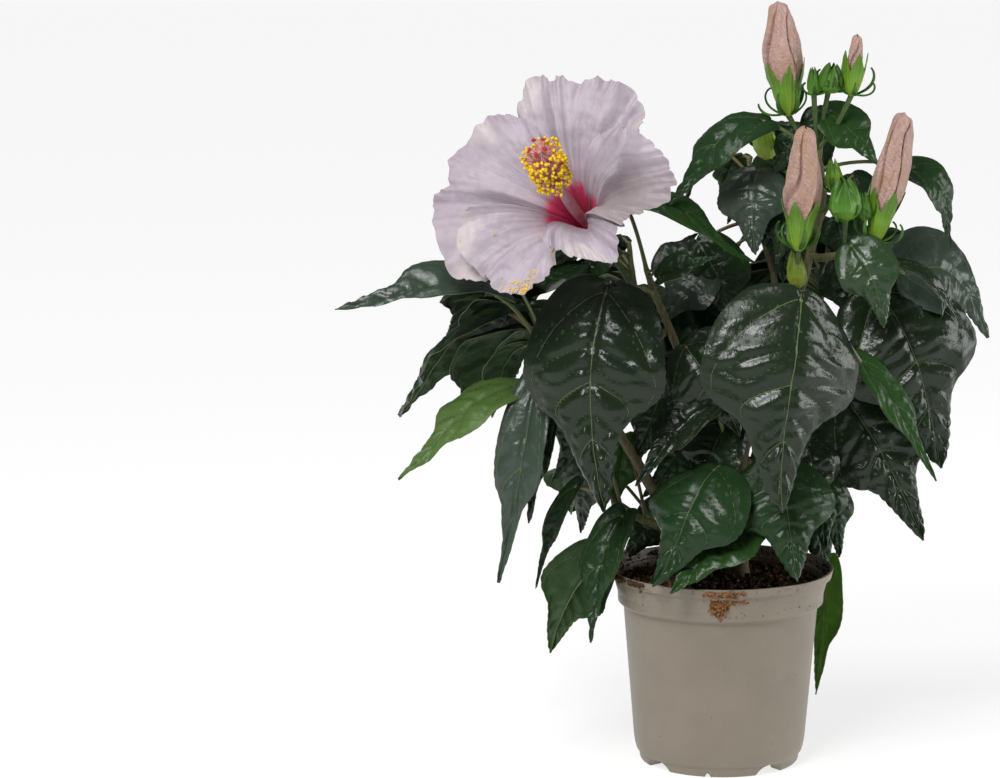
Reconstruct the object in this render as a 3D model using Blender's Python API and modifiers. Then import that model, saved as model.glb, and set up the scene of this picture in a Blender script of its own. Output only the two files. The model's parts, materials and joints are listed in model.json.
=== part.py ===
"""Potted hibiscus shrub: one young plant in a round nursery pot, in metres, +Z up.

The origin is the centre of the pot's flat underside, +X is to the plant's right and -Y its front.
Sizes and places below are in millimetres, and MM turns them into metres.
"""

import math
import random
from collections import namedtuple

import bmesh
import bpy
from mathutils import Matrix, Vector
from mathutils.bvhtree import BVHTree

MM = 0.001
GAP = 0.3 * MM              # clearance between neighbouring solids
UP = Vector((0, 0, 1))

# ---- Driving dimensions (mm) ----
POT_RADIUS = 65.0           # outside of the lip: a 13 cm pot
POT_HEIGHT = 114.0
LIP_HEIGHT = 5.7
BAND_RADIUS = 59.2          # plain band under the lip
BAND_BOTTOM = 92.5
WALL_TOP_RADIUS = 56.0
WALL_BOTTOM_RADIUS = 48.8
FOOT_RADIUS = 45.6
FOOT_HEIGHT = 6.0
FOOT_WIDTH = 9.0
BOSS_RADIUS = 24.0          # flat middle of the underside, level with the feet
POT_WALL = 1.4
POT_SEGMENTS = 32
FOOT_GAPS = 4
FOOT_GAP_TURN = -50.0       # degrees, direction of the first gap between two feet
FOOT_GAP_WIDTH = 19.0
DRAIN_NOTCH_RADIUS = 1.8
DRAIN_NOTCH_TURN = -98.0    # degrees
SOIL_TOP = 106.0
SOIL_CROWN = 1.5            # how far the soil's middle stands above its edge

LEAF_THICKNESS = 0.0115     # of the blade's length
PETAL_THICKNESS = 1.0
PETIOLE_RADIUS = 1.15
LARGE_LEAF = 70.0           # a placed leaf longer than this gets a finer blade

# ---- The seeded leaves: lowest and highest of each measure (mm, degrees, shares) ----
STALK_LENGTH = (22, 48)
STALK_RISE = (10, 50)
LEAF_LENGTH = (78, 116)
LEAF_SHAPE = (0.60, 0.70)   # width over length
LEAF_DROOP = (25, 72)
LEAF_ARCH = (0.08, 0.16)
LEAF_FOLD = (-12, 14)
LEAF_VEER = 25              # of its heading from its stalk's, either way
LEAF_SWAY = 0.05
LEAF_TWIST = 15
GOLDEN_ANGLE = 137.5        # degrees between one leaf and the next round a stem
TRIES = 40                  # for each leaf that a mass should grow by the seeded rule

# ---- Colours ----
TAUPE_PLASTIC = (0.36, 0.31, 0.26)
PEAT_BROWN = (0.035, 0.020, 0.012)
BARK_OLIVE = (0.16, 0.12, 0.045)
LEAF_GREEN = (0.018, 0.062, 0.022)
YOUNG_GREEN = (0.10, 0.26, 0.035)
PETAL_LAVENDER = (0.60, 0.53, 0.64)

# A limb starts on its parent ("soil", or a limb and the fraction of its length), and passes
# through its points (mm). Its radius tapers from the first value to the last.
Limb = namedtuple("Limb", "parent at points radii sides")
LIMBS = {
    "trunk": Limb("soil", 0, [(10, 12, SOIL_TOP), (8, 12, 148), (13, 11, 186)], (5.2, 3.7), 2),
    "stem_left": Limb("soil", 0, [(-12, 9, SOIL_TOP), (-47, 5, 170), (-66, 2, 202)], (3.8, 2.5), 2),
    "bough_flower": Limb("trunk", 0.62, [(-22, 3, 229), (-38, -3, 270)], (2.8, 2.1), 1),
    "bough_top": Limb("trunk", 1.0, [(27, 10, 224), (43, 9, 270), (50, 7, 298)], (3.4, 2.4), 1),
    "bough_right": Limb("trunk", 0.86, [(44, 21, 218), (70, 24, 256)], (2.6, 2.0), 1),
    "bough_low_right": Limb("trunk", 0.42, [(36, 26, 152), (60, 34, 178)], (2.3, 1.8), 1),
    "bough_front": Limb("bough_top", 0.62, [(40, -9, 264), (43, -22, 272)], (1.9, 1.7), 1),
    "bough_back_left": Limb("trunk", 0.74, [(-14, 42, 198), (-40, 66, 232)], (2.6, 2.0), 1),
    "bough_back_right": Limb("trunk", 0.56, [(24, 46, 184), (46, 78, 226)], (2.6, 2.0), 1),
    "bough_back_top": Limb("bough_top", 0.36, [(30, 34, 268), (22, 48, 300)], (2.2, 1.8), 1),
}

# A mass of foliage grows from the tip or side of its limb along its own stem.
# space is the box that its seeded leaves keep to, low corner and high corner (mm).
Mass = namedtuple("Mass", "limb at stem seeded turn space")
MASSES = {
    "foliage_front": Mass("bough_front", 1.0, [(45, -31, 278)], 0, 0, None),
    "foliage_flower": Mass("bough_flower", 1.0, [(-44, -9, 288)], 0, 0, None),
    "foliage_left": Mass("stem_left", 1.0, [(-90, -2, 228), (-110, -6, 252)],
                         5, 60, ((-215, 0, 120), (-60, 110, 320))),
    "foliage_low_left": Mass("stem_left", 0.34, [(-46, 4, 140), (-62, 2, 150)],
                             4, 100, ((-125, 10, 60), (-10, 130, 190))),
    "foliage_low_front": Mass("trunk", 0.30, [(6, -6, 150), (8, -16, 184)], 0, 0, None),
    "foliage_right": Mass("bough_right", 1.0, [(78, 18, 286), (84, 14, 300)],
                          4, 20, ((60, 20, 190), (165, 120, 350))),
    "foliage_low_right": Mass("bough_low_right", 1.0, [(72, 32, 200), (72, 26, 216)],
                              5, 10, ((20, 20, 60), (140, 120, 230))),
    "foliage_crown": Mass("bough_top", 1.0, [(56, 7, 330), (52, 8, 356)],
                          3, 70, ((10, 15, 270), (125, 100, 390))),
    "foliage_back_left": Mass("bough_back_left", 1.0, [(-52, 80, 262), (-56, 86, 290)],
                              11, 40, ((-160, 15, 100), (10, 165, 350))),
    "foliage_back_right": Mass("bough_back_right", 1.0, [(58, 92, 258), (62, 98, 288)],
                               11, 0, ((-10, 25, 100), (160, 170, 350))),
    "foliage_back_top": Mass("bough_back_top", 1.0, [(16, 56, 326), (14, 60, 344)],
                             9, 80, ((-80, 15, 220), (115, 140, 395))),
}

# Leaves with a known place. root: fraction of the mass's stem where the petiole starts; base and
# tip: the blade's ends (mm); face: where its upper side looks; arch, sway: bend of the midrib as
# fractions of the length; fold: degrees by which the halves rise (+) or fall (-) from the midrib;
# twist: degrees that the tip is turned about the midrib.
Leaf = namedtuple("Leaf", "mass root base tip width face arch fold sway twist")
LEAVES = {
    "front": Leaf("foliage_front", 0.95, (43, -50, 281), (34, -78, 161), 104,
                  (0.42, -1, 0.35), 0.10, -19, -0.05, 0),
    "front_left": Leaf("foliage_flower", 0.35, (-64, -48, 284), (-65, -70, 159), 80,
                       (-0.12, -1, 0.35), 0.09, -8, -0.06, 10),
    "under_flower": Leaf("foliage_flower", 0.9, (-37, -34, 285), (-4, -40, 299), 24,
                         (0.2, -0.6, 1), 0.05, 20, 0, 0),
    "beside_flower": Leaf("foliage_flower", 0.75, (-36, -22, 291), (-14, -4, 314), 26,
                          (-0.5, -0.8, 0.4), 0.05, 15, 0.05, 0),
    "left_of_centre": Leaf("foliage_low_front", 0.95, (-22, -22, 247), (10, -34, 196), 56,
                           (-0.4, -1, 0.5), 0.12, -5, 0.05, 0),
    "upper_left": Leaf("foliage_left", 0.98, (-125, -10, 270), (-218, -45, 268), 46,
                       (0.0, -0.35, 1), 0.09, 25, 0, 0),
    "mid_left": Leaf("foliage_left", 0.45, (-114, -12, 219), (-183, -40, 170), 38,
                     (-0.5, -0.5, 0.8), 0.10, 8, 0, 0),
    "hanging_left": Leaf("foliage_left", 0.6, (-105, -24, 226), (-126, -40, 111), 32,
                         (-0.3, -1, 0.2), 0.05, 20, 0.02, 20),
    "hanging_left_2": Leaf("foliage_left", 0.25, (-95, -14, 212), (-110, -22, 142), 28,
                           (-0.7, -0.8, 0.2), 0.06, 20, 0, 0),
    "narrow_left": Leaf("foliage_low_left", 0.6, (-82, 6, 161), (-107, 0, 99), 15,
                        (-0.8, -0.8, 0.2), 0.04, 20, -0.04, 0),
    "low_left_outer": Leaf("foliage_low_left", 0.95, (-73, -8, 124), (-87, -30, 63), 34,
                           (-0.8, 0.9, -0.2), 0, 12, 0.25, 20),
    "low_left_inner": Leaf("foliage_low_left", 0.8, (-57, -18, 149), (-77, -46, 78), 26,
                           (-0.6, -0.9, 0.3), 0.05, 20, -0.04, 20),
    "low_left_back": Leaf("foliage_low_left", 0.3, (-58, 26, 146), (-66, 34, 92), 32,
                          (-0.4, 1, 0.3), 0.10, 0, 0, 0),
    "low_left_bright": Leaf("foliage_low_left", 0.5, (-56, 16, 188), (-63, 10, 142), 24,
                            (0.4, -1, 0.2), 0.05, 10, 0, 0),
    "low_front": Leaf("foliage_low_front", 0.9, (-2, -36, 178), (-38, -68, 116), 62,
                      (-0.5, -1, 0.6), 0.14, -8, 0.05, 0),
    "low_centre": Leaf("foliage_low_front", 0.75, (29, -30, 180), (41, -62, 120), 48,
                       (0.2, -1, 0.35), 0.10, -10, 0, 0),
    "over_rim": Leaf("foliage_low_front", 0.3, (12, -28, 141), (-28, -75, 114), 50,
                     (-0.2, -0.6, 1), 0.12, 8, 0.03, 0),
    "centre_low": Leaf("foliage_low_front", 0.98, (4, -18, 202), (-16, -30, 158), 42,
                       (-0.6, -1, 0.4), 0.06, 8, 0, 0),
    "rolled": Leaf("foliage_low_front", 0.85, (-2, -30, 214), (-48, -52, 170), 32,
                   (-0.4, -0.8, 0.9), 0.06, 25, -0.04, 0),
    "right_big": Leaf("foliage_right", 0.3, (85, 18, 274), (123, 8, 171), 84,
                      (0.3, -1, 0.35), 0.10, -6, 0.04, 0),
    "right_top": Leaf("foliage_right", 0.8, (92, 16, 300), (144, 34, 243), 46,
                      (0.3, -0.8, 0.8), 0.06, -5, 0.13, 0),
    "right_narrow": Leaf("foliage_right", 0.95, (94, -8, 292), (141, -2, 250), 17,
                         (0.6, -0.4, 0.9), 0.12, 20, 0, 0),
    "right_light": Leaf("foliage_right", 0.9, (70, -22, 305), (90, -36, 259), 34,
                        (-0.1, -1, 0.5), 0.12, 0, 0.08, 0),
    "right_bright": Leaf("foliage_front", 0.5, (75, -8, 238), (122, -16, 168), 22,
                         (0.7, -0.8, 0.3), 0.05, 15, 0.02, 0),
    "right_low": Leaf("foliage_low_right", 0.9, (66, 14, 216), (116, 0, 130), 52,
                      (0.15, -1, 0.3), 0.04, -6, 0.03, 0),
    "low_right": Leaf("foliage_low_right", 0.6, (50, 4, 192), (70, -16, 143), 40,
                      (0.4, -1, 0.5), 0.10, 0, 0, 0),
    "low_right_edge": Leaf("foliage_low_right", 0.35, (60, 28, 166), (66, 0, 124), 34,
                           (0.4, -1, 0.7), 0.12, 0, 0, 0),
    "behind_pot": Leaf("foliage_low_right", 0.45, (61, 47, 108), (55, 45, 28), 24,
                       (0.6, 0.8, 0.1), 0.02, 5, 0, 0),
    "arching_left": Leaf("foliage_crown", 0.9, (28, 8, 374), (-24, -8, 327), 34,
                         (-0.5, -0.6, 0.7), 0.15, 5, 0, 0),
    "small_top": Leaf("foliage_crown", 0.85, (56, 10, 379), (86, 0, 350), 34,
                      (0.5, -0.9, 0.7), 0.06, 5, 0.05, 0),
    "arching_right": Leaf("foliage_crown", 0.8, (103, 16, 350), (125, 22, 303), 28,
                          (0.75, -0.6, 0.5), 0.20, 8, 0.10, 0),
    "silvery": Leaf("foliage_crown", 0.35, (20, 22, 342), (18, 0, 295), 42,
                    (-0.25, -1, 0.5), 0.12, -6, -0.04, 0),
    "behind_flower": Leaf("foliage_crown", 0.15, (2, 12, 308), (-46, -4, 319), 26,
                          (0, -0.5, 1), 0.12, 15, 0, 0),
}

# Flower: the corolla's base, the way it opens, and its petals (mm, degrees).
FLOWER_BASE = (-69, -38, 309)
FLOWER_AXIS = (-0.40, -0.78, 0.48)
FLOWER_STALK = [(-57, -2, 284), (-64, -20, 298)]
THROAT_RADIUS = 3.2
THROAT_DEPTH = 30.0
PETAL_OVERLAP = 3.0         # one edge lies over the next petal, the other under it
PETAL_RUFFLE = 4.5

# A petal: turn round the flower's axis from its top, clockwise as seen from its front; reach
# from the axis to the petal's edge and rise of that edge over the flower's base (mm);
# half-angle that it spans (degrees).
Petal = namedtuple("Petal", "turn reach rise half_angle")
PETALS = [
    Petal(1, 75, 52, 48),
    Petal(77, 71, 66, 40),
    Petal(143, 47, 66, 44),
    Petal(234, 78, 54, 44),
    Petal(290, 74, 52, 44),
]
COLUMN_LENGTH = 89.0        # along the flower's axis
COLUMN_BEND = 17.0          # how far the column's tip has bent up from that axis
COLUMN_RADIUS = 1.9
CALYX_CUP = [(-7, 2.5), (-3, 5.5), (6, 7.5), (17, 7.0)]      # (height, radius) under the petals
FILAMENT_LENGTH = 8.0
STIGMA_LENGTH = 10.0
ANTHER_RADIUS = 1.4
ANTHERS = 8
STIGMAS = 5

# A bud: its mass, the stem fraction its stalk leaves from, its base and tip, widest radius of
# its furled petals (0 = still closed in its calyx), the calyx's length and radius, its bracts.
Bud = namedtuple("Bud", "mass root base tip petals calyx_length calyx_radius bracts")
BUDS = {
    "top": Bud("foliage_crown", 0.95, (36, 5, 374), (29, 5, 438), 11.5, 32, 9.5, 5),
    "small": Bud("foliage_crown", 0.98, (71, 0, 386), (74, 0, 420), 4.5, 23, 6.5, 3),
    "behind": Bud("foliage_crown", 0.7, (25, 26, 348), (20, 26, 372), 0, 22, 8.0, 0),
    "green_top": Bud("foliage_crown", 0.99, (58, 0, 388), (60, -5, 402), 0, 16, 6.5, 3),
    "green_mid": Bud("foliage_crown", 0.45, (63, -4, 331), (61, -4, 350), 0, 20, 5.0, 3),
    "front": Bud("buds_front", 0.95, (42, -24, 301), (45, -30, 371), 11.0, 30, 8.5, 4),
    "right": Bud("buds_right", 0.95, (85, -10, 304), (101, -12, 377), 10.5, 32, 8.0, 5),
    "green_right": Bud("buds_right", 0.6, (70, -20, 311), (69, -23, 333), 0, 24, 10.0, 6),
}
BUD_STEMS = {
    "buds_front": Mass("bough_top", 0.80, [(42, -12, 284), (41, -20, 291)], 0, 0, None),
    "buds_right": Mass("bough_top", 0.96, [(68, -4, 296), (80, -8, 300)], 0, 0, None),
}


# ---- Small helpers ----

def metres(point):
    return Vector(point) * MM


def direction(degrees):
    turn = math.radians(degrees)
    return Vector((math.cos(turn), math.sin(turn), 0))


def clear_scene():
    for old in list(bpy.data.objects):
        bpy.data.objects.remove(old)


def new_collection(name):
    collection = bpy.data.collections.new(name)
    bpy.context.scene.collection.children.link(collection)
    return collection


def make_material(name, colour, roughness):
    material = bpy.data.materials.new(name)
    material.use_nodes = True
    shader = material.node_tree.nodes["Principled BSDF"]
    shader.inputs["Base Color"].default_value = (*colour, 1)
    shader.inputs["Roughness"].default_value = roughness
    shader.inputs["Metallic"].default_value = 0.0
    material.diffuse_color = (*colour, 1)
    return material


def add_object(name, mesh, collection):
    thing = bpy.data.objects.new(name, mesh)
    collection.objects.link(thing)
    return thing


def evaluated_mesh(thing):
    bpy.context.view_layer.update()
    shaped = thing.evaluated_get(bpy.context.evaluated_depsgraph_get())
    return bpy.data.meshes.new_from_object(shaped)


def weld(mesh, distance=1e-6):
    bm = bmesh.new()
    bm.from_mesh(mesh)
    bmesh.ops.remove_doubles(bm, verts=bm.verts, dist=distance)
    bm.to_mesh(mesh)
    bm.free()


def smooth_path(points, steps=3):
    """Points of a Catmull-Rom curve through the given points, steps pieces to each span."""
    ends = [points[0] * 2 - points[1]] + points + [points[-1] * 2 - points[-2]]
    path = []
    for before, start, end, after in zip(ends, ends[1:], ends[2:], ends[3:]):
        for step in range(steps):
            t = step / steps
            path.append(0.5 * (2 * start + (end - before) * t
                               + (2 * before - 5 * start + 4 * end - after) * t * t
                               + (3 * start - before - 3 * end + after) * t ** 3))
    return path + [points[-1]]


def along(path, fraction):
    """The point and the direction at a fraction of the path's points."""
    place = min(fraction, 1.0) * (len(path) - 1)
    index = min(int(place), len(path) - 2)
    step = path[index + 1] - path[index]
    return path[index] + step * (place - index), step.normalized()


def tube(name, path, radii, sides, collection):
    """A round tube with closed ends; its radius runs evenly through the values in radii (mm)."""
    curve = bpy.data.curves.new(name, "CURVE")
    curve.dimensions = "3D"
    curve.bevel_depth = MM
    curve.bevel_resolution = sides
    curve.use_fill_caps = True
    spline = curve.splines.new("POLY")
    spline.points.add(len(path) - 1)
    for index, place in enumerate(path):
        spot = index / (len(path) - 1) * (len(radii) - 1)
        low = min(int(spot), len(radii) - 2)
        spline.points[index].co = (*place, 1)
        spline.points[index].radius = radii[low] + (radii[low + 1] - radii[low]) * (spot - low)
    bent = add_object(name + "_curve", curve, collection)
    mesh = evaluated_mesh(bent)
    bpy.data.objects.remove(bent)
    weld(mesh)
    return add_object(name, mesh, collection)


def join_pieces(name, pieces, collection, material):
    """One solid from overlapping closed pieces: a Boolean union on their collection, applied."""
    helpers = bpy.data.collections.new(name + "_pieces")
    bpy.context.scene.collection.children.link(helpers)
    body = pieces[0]
    for piece in pieces[1:]:
        for home in list(piece.users_collection):
            home.objects.unlink(piece)
        helpers.objects.link(piece)
    union = body.modifiers.new("Union", "BOOLEAN")
    union.operation = "UNION"
    union.operand_type = "COLLECTION"
    union.solver = "MANIFOLD"
    union.collection = helpers
    joined = add_object(name, evaluated_mesh(body), collection)
    for piece in pieces:
        bpy.data.objects.remove(piece)
    bpy.data.collections.remove(helpers)
    joined.data.materials.clear()
    joined.data.materials.append(material)
    return joined


# ---- Leaves ----

def outline(u):
    """Half-width of a leaf at u of its length, as a fraction of its greatest half-width."""
    return max(math.sin(math.pi * max(u, 0) ** 0.62), 0) ** 0.75 * (1 - 0.3 * u * u)


class Blade:
    """The bent surface of a leaf, between its base and its tip (metres)."""

    LOBE = 0.12             # how far the two lobes at the stalk reach back, of the length
    CROWDING = 1.35         # how much closer its rows of faces stand near the base

    def __init__(self, base, tip, width, face, arch, fold, sway, twist, grid=(3, 2)):
        self.rows, self.columns = grid
        self.base = base
        self.chord = tip - base
        self.length = self.chord.length
        self.half_width = width / 2
        self.front = (face - self.chord * face.dot(self.chord) / self.length ** 2).normalized()
        self.across = self.front.cross(self.chord).normalized()
        self.arch = arch
        self.sway = sway
        self.fold = math.radians(fold)
        self.twist = math.radians(twist)

    def midrib(self, u):
        bend = 6.75 * u * (1 - u) ** 2
        swing = 4 * u * (1 - u)
        return (self.base + self.chord * u + self.front * self.length * self.arch * bend
                + self.across * self.length * self.sway * swing)

    def point(self, u, v):
        """A point at u of the length and v from -1, one edge, to 1, the other."""
        centre = self.midrib(u)
        ahead = (self.midrib(u + 0.01) - self.midrib(u - 0.01)).normalized()
        normal = (self.front - ahead * self.front.dot(ahead)).normalized()
        normal.rotate(Matrix.Rotation(self.twist * u, 3, ahead))
        side = normal.cross(ahead)
        wide = max(outline(u), 0.035)
        reach = self.half_width * wide
        back = self.LOBE * math.exp(-u / 0.1) * abs(v) ** 1.5 * min(wide * 1.6, 1)
        return (centre + side * reach * v * math.cos(self.fold)
                + normal * reach * abs(v) * math.sin(self.fold) - ahead * self.length * back)


    def grid_point(self, s, v):
        """A point of the grid of faces, at s and v of its rows and columns."""
        return self.point(s ** self.CROWDING, v)

    def tree(self):
        """The blade's grid of faces, for finding what is near it."""
        wide = self.columns + 1
        spots = [self.grid_point(row / self.rows, 2 * column / self.columns - 1)
                 for row in range(self.rows + 1) for column in range(wide)]
        corners = [row * wide + column for row in range(self.rows) for column in range(self.columns)]
        return BVHTree.FromPolygons(spots, [(c, c + 1, c + wide + 1, c + wide) for c in corners])


def blade_of(leaf):
    """The blade of a placed leaf; a large one has a finer grid of faces."""
    base, tip = metres(leaf.base), metres(leaf.tip)
    grid = (4, 4) if (tip - base).length > LARGE_LEAF * MM else (3, 2)
    return Blade(base, tip, leaf.width * MM, Vector(leaf.face), leaf.arch, leaf.fold, leaf.sway,
                 leaf.twist, grid)


def sheet(name, rows, columns, place, thickness, collection):
    """A thin closed sheet: a grid laid out by place(u, v), with u in 0..1 and v in -1..1."""
    bm = bmesh.new()
    bmesh.ops.create_grid(bm, x_segments=columns, y_segments=rows, size=1.0)
    for vertex in bm.verts:
        vertex.co = place((vertex.co.y + 1) / 2, vertex.co.x)
    mesh = bpy.data.meshes.new(name)
    bm.to_mesh(mesh)
    bm.free()
    thing = add_object(name, mesh, collection)
    solidify = thing.modifiers.new("Thickness", "SOLIDIFY")
    solidify.thickness = thickness
    solidify.offset = 0
    return thing


def blade_sheet(name, blade, collection):
    return sheet(name, blade.rows, blade.columns, blade.grid_point,
                 blade.length * LEAF_THICKNESS, collection)


def stalk_path(root, blade, steps=3):
    """A leaf stalk from the stem at root, over an easy bow, to a little inside the blade."""
    end = blade.midrib(0.045)
    bow = (root + end) / 2 + UP * (end - root).length * 0.16
    return [root * (1 - t) ** 2 + bow * 2 * t * (1 - t) + end * t * t
            for t in (step / steps for step in range(steps + 1))]


class Space:
    """What is already taken up and by which mass, for keeping new leaves clear of it."""

    CLEAR = 2.2 * MM

    def __init__(self):
        self.taken = []

    def add_mesh(self, mesh, owner=None):
        faces = [tuple(face.vertices) for face in mesh.polygons]
        tree = BVHTree.FromPolygons([vertex.co.copy() for vertex in mesh.vertices], faces)
        self.taken.append((tree, owner))

    def add_leaf(self, blade, stalk, owner):
        self.taken.append((blade.tree(), owner))
        self.taken.append((ribbon_tree(stalk, PETIOLE_RADIUS * MM), owner))

    def is_free(self, blade, stalk, owner):
        """True where the blade is clear of everything, and its stalk of all other masses."""
        own = blade.tree()
        blade_spots = [blade.grid_point(s / 8, v / 2) for s in range(9) for v in range(-2, 3)]
        stalk_spots = [along(stalk, step / 20)[0] for step in range(20)]
        for tree, holder in self.taken:
            spots = blade_spots if holder == owner else blade_spots + stalk_spots
            if tree.overlap(own) or any(tree.find_nearest(spot, self.CLEAR)[0] for spot in spots):
                return False
        return True


def ribbon_tree(path, half_width):
    """A flat band along a path, which stands for a thin stalk."""
    spots = []
    for point, after in zip(path, path[1:] + [path[-1] * 2 - path[-2]]):
        side = (after - point).cross(UP).normalized() * half_width
        spots += [point - side, point + side]
    faces = [(i, i + 1, i + 3, i + 2) for i in range(0, len(spots) - 2, 2)]
    return BVHTree.FromPolygons(spots, faces)


def seeded_leaf(root, turn, rng):
    """One leaf of the growing rule: its stalk rises outwards from root, its blade hangs."""
    rise = math.radians(rng.uniform(*STALK_RISE))
    reach = rng.uniform(*STALK_LENGTH) * MM
    droop = math.radians(rng.uniform(*LEAF_DROOP))
    length = rng.uniform(*LEAF_LENGTH) * MM
    heading = direction(turn + rng.uniform(-LEAF_VEER, LEAF_VEER))
    width = length * rng.uniform(*LEAF_SHAPE)
    base = root + (direction(turn) * math.cos(rise) + UP * math.sin(rise)) * reach
    tip = base + (heading * math.cos(droop) - UP * math.sin(droop)) * length
    face = heading * math.sin(droop) + UP * math.cos(droop)
    return Blade(base, tip, width, face, rng.uniform(*LEAF_ARCH), rng.uniform(*LEAF_FOLD),
                 rng.uniform(-LEAF_SWAY, LEAF_SWAY), rng.uniform(-LEAF_TWIST, LEAF_TWIST))


def inside(point, space):
    low, high = metres(space[0]), metres(space[1])
    return all(low[i] <= point[i] <= high[i] for i in range(3))


def grow_leaves(name, stem, taken, rng):
    """Leaves round the stem by the golden angle; one that leaves the space or touches is skipped."""
    mass = MASSES[name]
    grown = []
    for step in range(mass.seeded * TRIES):
        if len(grown) == mass.seeded:
            break
        fraction = 0.08 + 0.9 * ((step * 0.618) % 1.0)
        root, _ = along(stem, fraction)
        blade = seeded_leaf(root, mass.turn + step * GOLDEN_ANGLE, rng)
        stalk = stalk_path(root, blade)
        spots = [blade.point(0.1, 0), blade.point(0.45, -1), blade.point(0.45, 1), blade.point(1, 0)]
        if all(inside(spot, mass.space) for spot in spots) and taken.is_free(blade, stalk, name):
            taken.add_leaf(blade, stalk, name)
            grown.append((root, blade))
    return grown


# ---- Pot and soil ----

def turned(name, profile, segments, collection):
    """A closed turned solid. profile runs from the axis up the inside and down the outside (mm)."""
    mesh = bpy.data.meshes.new(name)
    corners = [(radius * MM, 0, height * MM) for radius, height in profile]
    mesh.from_pydata(corners, [(i, i + 1) for i in range(len(corners) - 1)], [])
    thing = add_object(name, mesh, collection)
    screw = thing.modifiers.new("Turn", "SCREW")
    screw.angle = 2 * math.pi
    screw.steps = segments
    screw.render_steps = segments
    screw.use_merge_vertices = True
    screw.merge_threshold = 0.0001
    return thing


def wall_radius(height):
    """Outer radius of the tapering wall at a height."""
    share = (height - FOOT_HEIGHT) / (BAND_BOTTOM - FOOT_HEIGHT)
    return WALL_BOTTOM_RADIUS + (WALL_TOP_RADIUS - WALL_BOTTOM_RADIUS) * share


def make_pot(parts, cutters, material):
    lip_bottom = POT_HEIGHT - LIP_HEIGHT
    floor = FOOT_HEIGHT + POT_WALL
    corner = 12.0           # height at which the rounded bottom corner meets the wall
    profile = [
        (0, POT_WALL),
        (BOSS_RADIUS - POT_WALL, POT_WALL),
        (BOSS_RADIUS - POT_WALL, floor),
        (wall_radius(floor) - POT_WALL - 1.5, floor),
        (wall_radius(corner) - POT_WALL, corner),
        (WALL_TOP_RADIUS - POT_WALL, BAND_BOTTOM - 1.5),
        (BAND_RADIUS - POT_WALL, BAND_BOTTOM + 0.5),
        (POT_RADIUS - 1.8, POT_HEIGHT),
        (POT_RADIUS, POT_HEIGHT - 0.4),
        (POT_RADIUS - 1.4, lip_bottom),
        (BAND_RADIUS + 0.4, lip_bottom),
        (BAND_RADIUS, BAND_BOTTOM + 1.2),
        (WALL_TOP_RADIUS, BAND_BOTTOM),
        (wall_radius(corner), corner),
        (wall_radius(FOOT_HEIGHT) - 1.2, FOOT_HEIGHT),
        (FOOT_RADIUS + 0.4, 1.5),
        (FOOT_RADIUS - 1.2, 0),
        (FOOT_RADIUS - FOOT_WIDTH, 0),
        (FOOT_RADIUS - FOOT_WIDTH, FOOT_HEIGHT),
        (BOSS_RADIUS, FOOT_HEIGHT),
        (BOSS_RADIUS, 0),
        (0, 0),
    ]
    pot = turned("pot", profile, POT_SEGMENTS, parts)
    for number in range(FOOT_GAPS):
        turn = FOOT_GAP_TURN + 360 / FOOT_GAPS * number
        cut_across(pot, f"foot_gap_{number}", turn, FOOT_GAP_WIDTH / 2, FOOT_HEIGHT - 0.4, cutters)
    cut_across(pot, "drain_notch", DRAIN_NOTCH_TURN, DRAIN_NOTCH_RADIUS, 2.4, cutters)
    pot.data.materials.append(material)
    for face in pot.data.polygons:
        face.use_smooth = True
    return pot


def cut_across(pot, name, turn, half_width, height, cutters):
    """Cuts an arch through the foot ring: a lying cylinder, flattened to the arch's height."""
    reach = FOOT_WIDTH + 8
    below = 0.7             # the cylinder's axis lies this far under the feet
    bpy.ops.mesh.primitive_cylinder_add(vertices=16, radius=1, depth=1)
    cutter = bpy.context.object
    cutter.name = name
    cutter.data.transform(Matrix.Diagonal(((height + below) * MM, half_width * MM, reach * MM, 1)))
    cutter.data.transform(Matrix.Rotation(math.radians(90), 4, "Y"))
    cutter.rotation_euler = (0, 0, math.radians(turn))
    cutter.location = (direction(turn) * (FOOT_RADIUS - FOOT_WIDTH / 2) - UP * below) * MM
    for home in list(cutter.users_collection):
        home.objects.unlink(cutter)
    cutters.objects.link(cutter)
    cutter.hide_render = True
    cutter.display_type = "WIRE"
    cut = pot.modifiers.new(name, "BOOLEAN")
    cut.operation = "DIFFERENCE"
    cut.object = cutter


def make_soil(parts, material):
    floor = FOOT_HEIGHT + POT_WALL + 0.3
    corner = 12.0
    clear = POT_WALL + 0.4
    profile = [
        (0, SOIL_TOP),
        (WALL_TOP_RADIUS * 0.9, SOIL_TOP),
        (BAND_RADIUS - clear, SOIL_TOP - SOIL_CROWN),
        (BAND_RADIUS - clear, BAND_BOTTOM + 1.2),
        (WALL_TOP_RADIUS - clear, BAND_BOTTOM - 1.5),
        (wall_radius(corner) - clear, corner),
        (wall_radius(floor) - clear - 1.7, floor),
        (0, floor),
    ]
    soil = turned("soil", profile, POT_SEGMENTS, parts)
    soil.data.materials.append(material)
    return soil


# ---- Limbs ----

def limb_paths():
    """The smoothed path of each limb, in metres, started clear of its parent."""
    paths = {}
    for name, limb in LIMBS.items():
        points = [metres(point) for point in limb.points]
        if limb.parent == "soil":
            foot = points[0] + UP * GAP
            paths[name] = [foot] + smooth_path([foot + UP * 3 * MM] + points[1:])
        else:
            paths[name] = shoot_path(paths[limb.parent], LIMBS[limb.parent].radii, limb.at,
                                     points, limb.radii[0])
    return paths


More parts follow.
